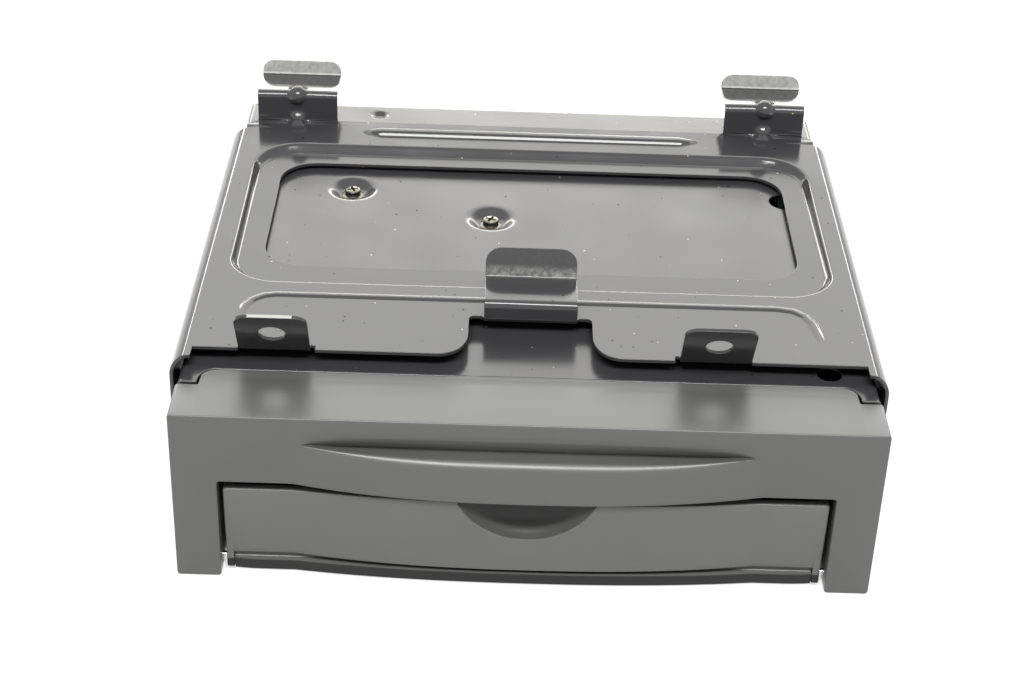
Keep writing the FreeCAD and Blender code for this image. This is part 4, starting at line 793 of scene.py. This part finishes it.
def make_lid(sizes):
    """Lid from its flat blank: folded skirts, a cut-out for the bezel's tongue, screw dimples
    whose depth falls as a rounded step of the distance from their centres, and access holes."""
    spread = LID_CREASE + LID_TURN + LID_SKIRT
    outer = rounded([(-spread, 14.7, 1.0), (-84.4, 14.7, 0.5), (-84.4, 20.8, 4.9, 4),
                     (84.4, 20.8, 4.9), (84.4, 14.7, 0.5), (spread, 14.7, 1.0),
                     (spread, 178.0, 1.0), (-spread, 178.0, 1.0)], 0, 9)
    holes = [ring(x, y, radius, 48) for x, y, radius in ACCESS] + [ring(x, y, 1.7, 24) for x, y in DIMPLES]
    rows = []
    for x, y in DIMPLES:
        rows += [closed(ring(x, y, r, 56)) for r in
                 (3.2, 3.6, 3.9, 4.3, 4.8, 5.3, 5.8, 6.2, 6.5, 6.8, 7.2, 7.8, 8.4)]
    rows += [closed(ring(-47.9, 172.2, r, 32)) for r in (0.6, 1.1, 1.5, 1.9, 2.3, 2.7, 3.1)]
    for side in (-1, 1):
        rows += [np.array([(side * (LID_CREASE + a), 14.0), (side * (LID_CREASE + a), 179.0)])
                 for a in np.linspace(0, LID_TURN, 8)]
    rows += [np.array([(-86, t), (86, t)]) for t in (21.2, 21.6, 22.2, 22.8, 23.4, 24.0, 24.6)]
    plane, faces = triangles([outer] + holes, rows)
    s, t = plane.T
    height = 0.26 * step((23.6 - t) / 2.6, 0.3) * step((84.0 - np.abs(s)) / 4.0, 0.3)
    for x, y in DIMPLES:
        height += -2.3 * step((6.9 - np.hypot(s - x, t - y)) / 3.0, 0.3)
    height += -1.1 * step((2.7 - np.hypot(s + 47.9, t - 172.2)) / 1.4, 0.25)
    beyond = np.abs(s) - LID_CREASE
    angle = np.clip(beyond / LID_BEND, 0, math.pi / 2)
    side = np.sign(s)
    bend = beyond > 0
    x = np.where(bend, side * (LID_CREASE + LID_BEND * np.sin(angle)), s)
    z = np.where(bend, 50.2 - LID_BEND * (1 - np.cos(angle)) - np.maximum(beyond - LID_TURN, 0),
                 50.2) + height
    points, faces = pressed(np.stack([x, t, z], 1), faces, 0.8, 0.34)
    piece("lid_sheet", points, faces, "case", FINISH["lid_steel"], ["top_cover"],
          sheet=True)


# Bezel and flap

BROW = 57.0
BOW_REACH = 59.5
KNOTS = np.array([0, 30, 36.4, 37.2, 37.9, 38.6, 39.2, 41.5, 42.4, 43.6, 45.0, 46.2, 47.0, 50.0])
DEPTHS = np.array([0, 0, -2.5, -2.35, -1.95, -1.35, -0.55, 3.5, 1.99, 0.99, 0.33, 0.05, 0, 0])
MIDDLE_LEVELS = np.array([0, 28.3, 36.4, 37.3, 38.1, 38.75, 39.25, 39.8, 41.4, 43.0, 44.66, 46.1,
                          47.0, 50.0])
END_LEVELS = np.array([0, 30, 39.6, 40.6, 41.2, 41.7, 42.0, 42.1, 42.6, 43.7, 45.0, 46.2, 47.0,
                       50.0])
CREASE_KNOT = 7


def wave(x, power=2.4, reach=BOW_REACH):
    """Bow along X: one less the power of the share of the half width, and none beyond it."""
    return np.clip(1 - (np.abs(x) / reach) ** power, 0, None)


def header(x, v, sizes):
    """Depth and height of the bezel's face at a level v: each level between two knots mixes the
    knots' places, averaged over a short window so that the corners roll. The ledge below the brow
    opens as a lens, and the face above it curls in to the crease at the ledge's rear."""
    opening, full = wave(x, 3.2, BROW), wave(x, 8, BROW)
    deep = sizes.brow_depth / MM / DEPTHS[CREASE_KNOT]
    bow = sizes.bezel_bow / MM * wave(x)
    y, z = np.zeros(len(x)), np.zeros(len(x))
    for shift in np.linspace(-0.24, 0.24, 5):
        level = np.where((v > 31) & (v < 48), v + shift, v)
        for index in range(len(KNOTS)):
            share = np.interp(level, KNOTS, np.eye(len(KNOTS))[index]) / 5
            open_here = full if index >= CREASE_KNOT else opening
            if index == 1:
                open_here = wave(x)
            depth = -bow if index == 1 else DEPTHS[index] * open_here
            y += share * (depth * deep if index >= CREASE_KNOT else depth)
            z += share * (END_LEVELS[index] + open_here
                          * (MIDDLE_LEVELS[index] - END_LEVELS[index]))
    return y, z


def bezel_loop(inset):
    return rounded([(-90, 0, 0.9), (-78.5, 0, 0.9, 8), (-78.5, 30, 0.7, 130), (78.5, 30, 0.7, 8),
                    (78.5, 0, 0.9), (90, 0, 0.9, 12), (90, 50, 0.9), (84.02, 50), (83.98, 50, 0, 12),
                    (79.5, 50, 0, 90), (-79.5, 50, 0, 12), (-83.98, 50), (-84.02, 50),
                    (-90, 50, 0.9, 12)], inset, 5)


def make_bezel(sizes):
    """Moulded arch: its outline carried back in rings, the face between is the header function."""
    roll, wall = sizes.mould_roll / MM, sizes.bezel_wall / MM

    def rear(x, v):
        span = np.clip(np.abs(x) - 79.5, 0, 4.5)
        tongue = 16.22 + np.sqrt(np.maximum(20.25 - span ** 2, 0))
        return np.where((v > 46) & (np.abs(x) < 84), tongue, 14.5)

    outer = bezel_loop(0)
    back = rear(*outer.T)
    places, loops = [], []
    for angle in np.linspace(0, math.pi / 2, 5):
        loop = bezel_loop(roll * (1 - math.sin(angle)))
        y, z = header(*loop.T, sizes)
        places.append(np.stack([loop[:, 0], y + roll * (1 - math.cos(angle)), z], 1))
        loops.append(loop)
    lifted = np.where((outer[:, 1] > 49.9) & (np.abs(outer[:, 0]) < 83.9), 0.55, 0)
    for inset, y, lift in ((0, back - 3.4, 0), (0, back - 2.8, 0.08), (0, back - 2.2, 0.22),
                           (0, back - 0.9, 0.75), (0, back - 0.4, 0.95), (0, back - 0.15, 1),
                           (0.09, back - 0.05, 1), (0.3, back, 1), (1.2, back, 0),
                           (1.4, back - 0.2, 0), (1.4, np.full(len(back), 14.5), 0),
                           (wall - 0.2, np.full(len(back), 14.5), 0),
                           (wall, np.full(len(back), 14.3), 0),
                           (wall, np.full(len(back), 7.2), 0)):
        loop = bezel_loop(inset)
        z = header(*loop.T, sizes)[1] + lift * lifted
        places.append(np.stack([loop[:, 0], y, z], 1))
        loops.append(loop)
    dots = np.concatenate([lattice(-62, 62, 125, 35.7, 47.3, 49), lattice(-62, 62, 125, 31.2, 35.2, 5),
                           lattice(-62, 62, 63, 48, 49, 2)])
    flat, faces = triangles([loops[0]], dots=dots)
    y, z = header(*flat.T, sizes)
    front = (np.stack([flat[:, 0], y, z], 1), faces)
    flat, faces = triangles([loops[-1]])
    z = header(*flat.T, sizes)[1]
    closing = (np.stack([flat[:, 0], np.full(len(flat), 7.2), z], 1), faces)
    points, faces = moulded(loops, places, front, closing)
    piece("bezel_shell", points, faces, "case", FINISH["bezel_plastic"],
          ["front_bezel"])


THUMB = (0.0, 36.0, 19.7)
LIP_TOP = 4.1


def thumb(x, z):
    """Depth of the finger scoop: a floor that sinks towards its lower rim, where it curls out to a
    circle as one less the square of what is left to the rim."""
    inside = np.clip((THUMB[2] - np.hypot(x - THUMB[0], z - THUMB[1])) / 2.2, 0, 1)
    return 0.27 * np.clip(28.8 - z, 0, None) * (1 - (1 - inside) ** 2)


def make_flap(sizes):
    """Flap: a bowed panel with the scoop, on a web with a lip, between two cheeks."""
    bow = sizes.bezel_bow / MM

    def place(x, v, scoop=1.0):
        z = v + wave(x) * (0.7 * (v - 5) / 22 - 0.6 * (27 - v) / 22)
        curl = 0.003 * (27 - v) ** 2
        return 1.5 - bow * wave(x) + scoop * thumb(x, z) + curl, z

    def loop_at(inset):
        return rounded([(-77.3, 5.8, 0.5, 120), (77.3, 5.8, 0.5, 6), (77.3, 27, 0.7, 120),
                        (-77.3, 27, 0.7, 6)], inset, 4)

    roll = 0.4
    places, loops = [], []
    for angle in np.linspace(0, math.pi / 2, 4):
        loop = loop_at(roll * (1 - math.sin(angle)))
        y, z = place(*loop.T)
        places.append(np.stack([loop[:, 0], y + roll * (1 - math.cos(angle)), z], 1))
        loops.append(loop)
    for inset, extra in ((0, 2.0), (0.2, 2.2)):
        loop = loop_at(inset)
        y, z = place(*loop.T)
        places.append(np.stack([loop[:, 0], y + extra, z], 1))
        loops.append(loop)
    arc = np.radians(np.linspace(198, 342, 97))
    rows = [np.stack([THUMB[0] + r * np.cos(arc), THUMB[1] + r * np.sin(arc) - 0.05], 1)
            for r in (19.95, 19.75, 19.7, 19.62, 19.4, 19.0, 18.4, 17.6, 16.8, 16.0)]
    rows = [row[row[:, 1] < 26.9] for row in rows]
    dots = np.concatenate([lattice(-62, 62, 63, 6, 26, 6), lattice(-17.5, 17.5, 36, 15.5, 26.5, 12)])
    flat, faces = triangles([loops[0]], rows, dots)
    y, z = place(*flat.T)
    front = (np.stack([flat[:, 0], y, z], 1), faces)
    flat, faces = triangles([loops[-1]], dots=dots)
    y, z = place(*flat.T)
    closing = (np.stack([flat[:, 0], y + 2.2, z], 1), faces)
    parts = [moulded(loops, places, front, closing)]
    x = np.concatenate([np.linspace(-75.2, -70, 12), np.linspace(-69, 69, 93),
                        np.linspace(70, 75.2, 12)])
    low = 5 - 0.6 * wave(x)
    lip = 2.0 - 3.1 * wave(x) + 0.6 * np.maximum(0, (np.abs(x) - 68) / 8) ** 2
    corners = [(3.8 + 0 * x, low + 1.6), (3.8 + 0 * x, LIP_TOP + 0 * x), (lip, LIP_TOP + 0 * x),
               (lip + 0.8, 0.4 + 0 * x), (6.0 + 0 * x, 0.4 + 0 * x), (6.0 + 0 * x, low + 1.6)]
    section = []
    for index, (y, z) in enumerate(corners):
        for other in (index - 1, (index + 1) % len(corners)):
            dy, dz = corners[other][0] - y, corners[other][1] - z
            size = np.maximum(np.hypot(dy, dz), 1e-6)
            for cut in ((0.4, 0.16) if other == index - 1 else (0.16, 0.4)):
                pull = 0.05 if cut == 0.16 else 0.0
                section.append(np.stack([x, y + dy / size * cut, z + dz / size * cut], 1))
    rings = np.stack(section, 1)
    parts.append((rings.reshape(-1, 3), belt(rings)))
    for end in (0, -1):
        ends = rings[end]
        fan = np.stack([np.zeros(len(ends) - 2, int), np.arange(1, len(ends) - 1),
                        np.arange(2, len(ends))], 1)
        parts.append((ends, fan))
    for side in (-1, 1):
        parts.append(slab([(2.4, 0.9, 1.0), (7.6, 0.9, 3.0), (7.6, 26.4, 3.0), (2.4, 26.4, 0.6)],
                          min(side * 75.3, side * 77.2), max(side * 75.3, side * 77.2), 0.25,
                          lambda a, b, c: np.stack([c, a, b], 1)))
    points, faces = assembled(parts)
    piece("flap_skin", points, faces, "flap", FINISH["flap_plastic"],
          ["flap_door"])


def assembled(parts):
    """Several closed bodies as one mesh, not merged with each other."""
    points, faces, start = [], [], 0
    for spots, index in parts:
        points.append(spots)
        faces.append(index + start)
        start += len(spots)
    return np.concatenate(points), np.concatenate(faces)


def slab(corners, low, high, roll, turned):
    """Prism between two levels whose edges are quarter circles."""
    places, levels = [], []
    for angle in np.linspace(0, math.pi / 2, 4):
        levels.append((roll * (1 - math.sin(angle)), low + roll * (1 - math.cos(angle))))
    levels += [(inset, high + low - level) for inset, level in levels[::-1]]
    for inset, level in levels:
        loop = rounded(corners, inset, 6)
        places.append(turned(loop[:, 0], loop[:, 1], np.full(len(loop), level)))
    flat, faces = triangles([rounded(corners, roll, 6)])
    caps = [(turned(flat[:, 0], flat[:, 1], np.full(len(flat), level)), faces)
            for level in (low, high)]
    return moulded(None, places, *caps)


# Screws

def screw_body(flange, head, rise, shank, drop):
    """Screw on its own axis, seat at zero: a turned profile of flange, head and threaded shank,
    with a cross pressed into the head that sinks as a step of the distance inside the cross."""
    around = 40
    angle = np.linspace(0, 2 * math.pi, around, endpoint=False)
    turns = np.arange(0, drop - 0.8, 0.35)
    thread = [(shank - 0.28 * (i % 2), -0.3 - t) for i, t in enumerate(turns)]
    profile = [(head - 0.35, rise), (head - 0.15, rise - 0.06), (head - 0.03, rise - 0.2),
               (head, rise - 0.4), (head, 0.75), (head + 0.1, 0.62), (flange - 0.15, 0.55),
               (flange, 0.42), (flange, 0.1), (flange - 0.1, 0.0), (shank + 0.1, 0.0)]
    profile += thread + [(shank * 0.8, -drop + 0.5), (shank * 0.3, -drop)]
    profile = np.array(profile)
    rings = np.stack([profile[:, :1] * np.cos(angle), profile[:, :1] * np.sin(angle),
                      np.repeat(profile[:, 1:], around, 1)], -1)
    arm, reach = 0.36, head * 0.72

    def cross(grow):
        a, b = arm + grow, reach + grow
        return rounded([(a, -b), (a, -a), (b, -a), (b, a), (a, a), (a, b), (-a, b), (-a, a),
                        (-b, a), (-b, -a), (-a, -a), (-a, -b)])

    top = ring(0, 0, head - 0.35, around)
    flat, faces = triangles([top], [closed(cross(g)) for g in (0.04, -0.02, -0.12)],
                            ring(0, 0, 0.15, 8))
    x, y = flat.T
    inside = np.maximum(np.minimum(arm - np.abs(x), reach - np.abs(y)),
                        np.minimum(arm - np.abs(y), reach - np.abs(x)))
    sink = 1.25 * step(inside / 0.14, 0.12) * (1 - 0.35 * np.hypot(x, y) / reach)
    dome = 0.10 * (1 - (np.hypot(x, y) / head) ** 2)
    cap = (np.stack([x, y, rise + np.where(inside > 0, dome - sink, dome * (inside < 9))
                     * (np.hypot(x, y) < head - 0.36)], 1), faces)
    tip_fan = np.stack([np.zeros(around - 2, int), np.arange(1, around - 1),
                        np.arange(2, around)], 1)
    return joined([(rings.reshape(-1, 3), belt(rings)), cap, (rings[-1], tip_fan)])


def placed(body, where, axis, spin):
    """Body turned by spin about its own axis, then its axis laid along an axis and moved."""
    points, faces = body
    c, s = math.cos(spin), math.sin(spin)
    x, y, z = points[:, 0] * c - points[:, 1] * s, points[:, 0] * s + points[:, 1] * c, points[:, 2]
    turned = {"z": (x, y, z), "x": (z, x, y), "-x": (-z, y, x), "y": (y, z, x)}[axis]
    return np.stack(turned, 1) + where, faces


def make_screws(sizes):
    lid = screw_body(3.35, 2.25, 2.35, 1.45, 6.5)
    side = screw_body(3.7, 2.9, 1.75, 1.5, 5.5)
    parts = [placed(lid, (x, y, 48.0), "z", spin) for (x, y), spin in zip(DIMPLES, (0.35, 1.1))]
    points, faces = assembled(parts)
    piece("lid_screws", points, faces, "case", FINISH["nickel"], ["cover_screws"])
    parts = []
    for sense, axis in ((-1, "-x"), (1, "x")):
        for index, depth in enumerate((44.4, 131.6)):
            parts.append(placed(side, (sense * (92.3 - 2.7), depth, 28.0), axis, 0.5 + index))
    points, faces = assembled(parts)
    piece("rail_screws", points, faces, "case", FINISH["nickel"], ["bracket_screws"])


# Springs

def coil(where, radius, wire, turns, width, leg):
    """Torsion spring about X: a round wire carried along a helix with a straight leg at each end."""
    angle = np.linspace(0, 2 * math.pi * turns, int(turns * 28))
    line = np.stack([width * (angle / angle[-1] - 0.5), radius * np.cos(angle),
                     radius * np.sin(angle)], 1)
    first = line[0] + np.array([0, 0, -1]) * np.linspace(leg, 0.3, 5)[:, None]
    way = line[-1] - line[-2]
    last = line[-1] + way / np.linalg.norm(way) * np.linspace(0.3, leg, 5)[:, None]
    line = np.concatenate([first, line, last]) + where
    along = np.gradient(line, axis=0)
    along /= np.linalg.norm(along, axis=1)[:, None]
    side = np.cross(along, (1.0, 0.0, 0.0))
    side /= np.linalg.norm(side, axis=1)[:, None]
    up = np.cross(side, along)
    round_angle = np.linspace(0, 2 * math.pi, 8, endpoint=False)
    rings = (line[:, None] + wire * (np.cos(round_angle)[None, :, None] * side[:, None]
                                     + np.sin(round_angle)[None, :, None] * up[:, None]))
    fan = np.stack([np.zeros(6, int), np.arange(1, 7), np.arange(2, 8)], 1)
    return joined([(rings.reshape(-1, 3), belt(rings)), (rings[0], fan), (rings[-1], fan)])


def make_springs(sizes):
    for name, node in (("flap_coil", "flap_spring"), ("arm_coil", "clamp_arm_spring")):
        low, high = (np.array(corner) / MM + (0, MIDDLE, 0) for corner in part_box(node))
        middle, span = (low + high) / 2, high - low
        wire = 0.19
        points, faces = coil(middle, span[1] / 2 - wire, wire, 5, span[0] - 2 * wire, 0.9)
        piece(name, points, faces, "case", FINISH["bright_steel"], [node])


# CAD nodes that keep their shape

def finish_nodes():
    """Gives each kept node the finish of its slot, found by the name of its packed material."""
    for label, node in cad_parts.items():
        for holder in node.material_slots:
            packed = holder.material.name.split(".")[0] if holder.material else ""
            if packed not in FINISH:
                raise RuntimeError("node %s has no finish for slot %r" % (label, packed))
            holder.material = FINISH[packed]


# Stage

VIEW_PLACE = (-10.22, -504.46, 333.53)
VIEW_YAW, VIEW_PITCH, VIEW_ROLL = 0.693, 32.019, 2.107
FOCAL_PIXELS = 2023.6
SENSOR = 36.0


def lamp(name, power, width, depth, elevation, azimuth, distance, tint=(1.0, 1.0, 1.0)):
    """Soft box aimed at the object from an elevation and an azimuth, 0 being straight behind."""
    light = bpy.data.lights.new(name, "AREA")
    light.shape = "RECTANGLE"
    light.size, light.size_y = width, depth
    light.energy = power
    light.color = tint
    made = bpy.data.objects.new(name, light)
    e, a = math.radians(elevation), math.radians(azimuth)
    way = np.array([math.sin(a) * math.cos(e), math.cos(a) * math.cos(e), math.sin(e)])
    back = way
    right = np.cross((0, 0, 1), back)
    right /= np.linalg.norm(right)
    up = np.cross(back, right)
    made.matrix_world = Matrix([[right[i], up[i], back[i], way[i] * distance + (0, 0, 0.03)[i]]
                                for i in range(3)] + [[0, 0, 0, 1]])
    made.visible_camera = False
    bpy.context.scene.collection.objects.link(made)
    return made


def make_stage():
    scene = bpy.context.scene
    camera = bpy.data.cameras.new("camera")
    camera.sensor_width = SENSOR
    camera.lens = FOCAL_PIXELS * SENSOR / IMAGE_WIDTH
    camera.clip_end = 20
    eye = bpy.data.objects.new("camera", camera)
    yaw, pitch, roll = (math.radians(v) for v in (VIEW_YAW, VIEW_PITCH, VIEW_ROLL))
    forward = np.array([math.sin(yaw) * math.cos(pitch), math.cos(yaw) * math.cos(pitch),
                        -math.sin(pitch)])
    right = np.cross(forward, (0, 0, 1))
    right /= np.linalg.norm(right)
    up = np.cross(right, forward)
    level_right, level_up = right, up
    right = level_right * math.cos(roll) + level_up * math.sin(roll)
    up = level_up * math.cos(roll) - level_right * math.sin(roll)
    eye.matrix_world = Matrix([[right[i], up[i], -forward[i], VIEW_PLACE[i] * MM]
                               for i in range(3)] + [[0, 0, 0, 1]])
    scene.collection.objects.link(eye)
    scene.camera = eye
    scene.view_settings.view_transform = "Standard"

    sweep = lamp("sweep_light", 46, 3.4, 1.87, 37, 0, 2.2, (1.0, 1.0, 0.945))
    sweep.data.use_nodes = True
    tree = sweep.data.node_tree
    spot = add(tree, "ShaderNodeNewGeometry").outputs["Parametric"]
    level = add(tree, "ShaderNodeSeparateXYZ", links={0: spot}).outputs[1]
    fall = add(tree, "ShaderNodeMapRange", {1: 0.25, 2: 0.46, 3: 0.54, 4: 1.1}, {0: level})
    glow = next(node for node in tree.nodes if node.type == "EMISSION")
    tree.links.new(fall.outputs[0], glow.inputs["Strength"])
    lamp("low_light", 30, 3.4, 0.37, 17.6, 0, 2.1, (1.0, 0.985, 0.9))
    lamp("front_box", 34, 1.2, 0.45, 58, 180, 1.8)

    world = bpy.data.worlds.new("studio_air")
    scene.world = world
    world.use_nodes = True
    tree = world.node_tree
    tree.nodes.clear()
    path = add(tree, "ShaderNodeLightPath")
    seen = add(tree, "ShaderNodeMath", None,
               {0: path.outputs["Is Camera Ray"], 1: path.outputs["Is Transmission Ray"]},
               operation="MAXIMUM")
    strength = add(tree, "ShaderNodeMapRange", {3: 0.3, 4: 1.0}, {0: seen.outputs[0]})
    gloss = add(tree, "ShaderNodeMath", {1: 1.2}, {0: path.outputs["Is Glossy Ray"]},
                operation="MULTIPLY")
    most = add(tree, "ShaderNodeMath", None, {0: strength.outputs[0], 1: gloss.outputs[0]},
               operation="MAXIMUM")
    air = add(tree, "ShaderNodeBackground", {"Color": (1, 1, 1, 1)}, {"Strength": most.outputs[0]})
    add(tree, "ShaderNodeOutputWorld", links={"Surface": air.outputs[0]})

    reach = 6.0
    mesh = bpy.data.meshes.new("floor")
    mesh.from_pydata([(-reach, -reach, 0), (reach, -reach, 0), (reach, reach, 0),
                      (-reach, reach, 0)], [], [(0, 1, 2, 3)])
    floor = bpy.data.objects.new("floor", mesh)
    scene.collection.objects.link(floor)
    paper, tree, shader, out, place = started("white_paper")
    shader.inputs["Base Color"].default_value = (0.45, 0.45, 0.45, 1)
    shader.inputs["Roughness"].default_value = 0.9
    shader.inputs["Specular IOR Level"].default_value = 0.1
    path = add(tree, "ShaderNodeLightPath")
    direct = add(tree, "ShaderNodeMath", None,
                 {0: path.outputs["Is Camera Ray"], 1: path.outputs["Is Transmission Ray"]},
                 operation="MAXIMUM")
    half = add(tree, "ShaderNodeMath", {1: 0.62}, {0: direct.outputs[0]}, operation="MULTIPLY")
    glow = add(tree, "ShaderNodeMath", {1: 0.85}, {0: path.outputs["Is Glossy Ray"],
                                                  2: half.outputs[0]}, operation="MULTIPLY_ADD")
    shader.inputs["Emission Color"].default_value = (1, 1, 1, 1)
    tree.links.new(glow.outputs[0], shader.inputs["Emission Strength"])
    mesh.materials.append(paper)


# Operators

class READER_OT_stage(bpy.types.Operator):
    """Adds the floor, lamps and camera"""
    bl_idname = "reader.stage"
    bl_label = "Stage"

    def execute(self, context):
        make_stage()
        return {"FINISHED"}


class READER_OT_finishes(bpy.types.Operator):
    """Makes the finishes and gives them to the CAD nodes that stay"""
    bl_idname = "reader.finishes"
    bl_label = "Finishes"

    def execute(self, context):
        FINISH.update(finishes(context.scene.reader_colours))
        finish_nodes()
        return {"FINISHED"}


class READER_OT_bracket(bpy.types.Operator):
    """Adds the pressed bracket with its ears and hooks"""
    bl_idname = "reader.bracket"
    bl_label = "Bracket"

    def execute(self, context):
        make_bracket(context.scene.reader_sizes)
        return {"FINISHED"}


class READER_OT_lid(bpy.types.Operator):
    """Adds the lid with its dimples"""
    bl_idname = "reader.lid"
    bl_label = "Lid"

    def execute(self, context):
        make_lid(context.scene.reader_sizes)
        return {"FINISHED"}


class READER_OT_bezel(bpy.types.Operator):
    """Adds the moulded bezel with its brow"""
    bl_idname = "reader.bezel"
    bl_label = "Bezel"

    def execute(self, context):
        make_bezel(context.scene.reader_sizes)
        return {"FINISHED"}


class READER_OT_flap(bpy.types.Operator):
    """Adds the flap with its finger scoop and lip"""
    bl_idname = "reader.flap"
    bl_label = "Flap"

    def execute(self, context):
        make_flap(context.scene.reader_sizes)
        return {"FINISHED"}


class READER_OT_screws(bpy.types.Operator):
    """Adds the screws of the lid and the rails"""
    bl_idname = "reader.screws"
    bl_label = "Screws"

    def execute(self, context):
        make_screws(context.scene.reader_sizes)
        return {"FINISHED"}


class READER_OT_springs(bpy.types.Operator):
    """Adds the wound springs"""
    bl_idname = "reader.springs"
    bl_label = "Springs"

    def execute(self, context):
        make_springs(context.scene.reader_sizes)
        return {"FINISHED"}


STEPS = (READER_OT_finishes, READER_OT_stage, READER_OT_bracket, READER_OT_lid,
         READER_OT_bezel, READER_OT_flap, READER_OT_screws, READER_OT_springs)


class READER_PT_panel(bpy.types.Panel):
    """Lists the reader's pieces"""
    bl_label = "Disc reader"
    bl_idname = "READER_PT_panel"
    bl_space_type = "VIEW_3D"
    bl_region_type = "UI"
    bl_category = "Reader"

    def draw(self, context):
        for group in (context.scene.reader_sizes, context.scene.reader_colours):
            box = self.layout.box()
            for field in group.__annotations__:
                box.prop(group, field)
        for maker in STEPS:
            self.layout.operator(maker.bl_idname)


CLASSES = (ReaderSizes, ReaderColours) + STEPS + (READER_PT_panel,)


def register():
    for item in CLASSES:
        bpy.utils.register_class(item)
    bpy.types.Scene.reader_sizes = bpy.props.PointerProperty(type=ReaderSizes)
    bpy.types.Scene.reader_colours = bpy.props.PointerProperty(type=ReaderColours)


def unregister():
    del bpy.types.Scene.reader_colours
    del bpy.types.Scene.reader_sizes
    for item in reversed(CLASSES):
        bpy.utils.unregister_class(item)


def main():
    register()
    for maker in STEPS:
        group, label = maker.bl_idname.split(".")
        getattr(getattr(bpy.ops, group), label)()


if __name__ == "__main__":
    main()
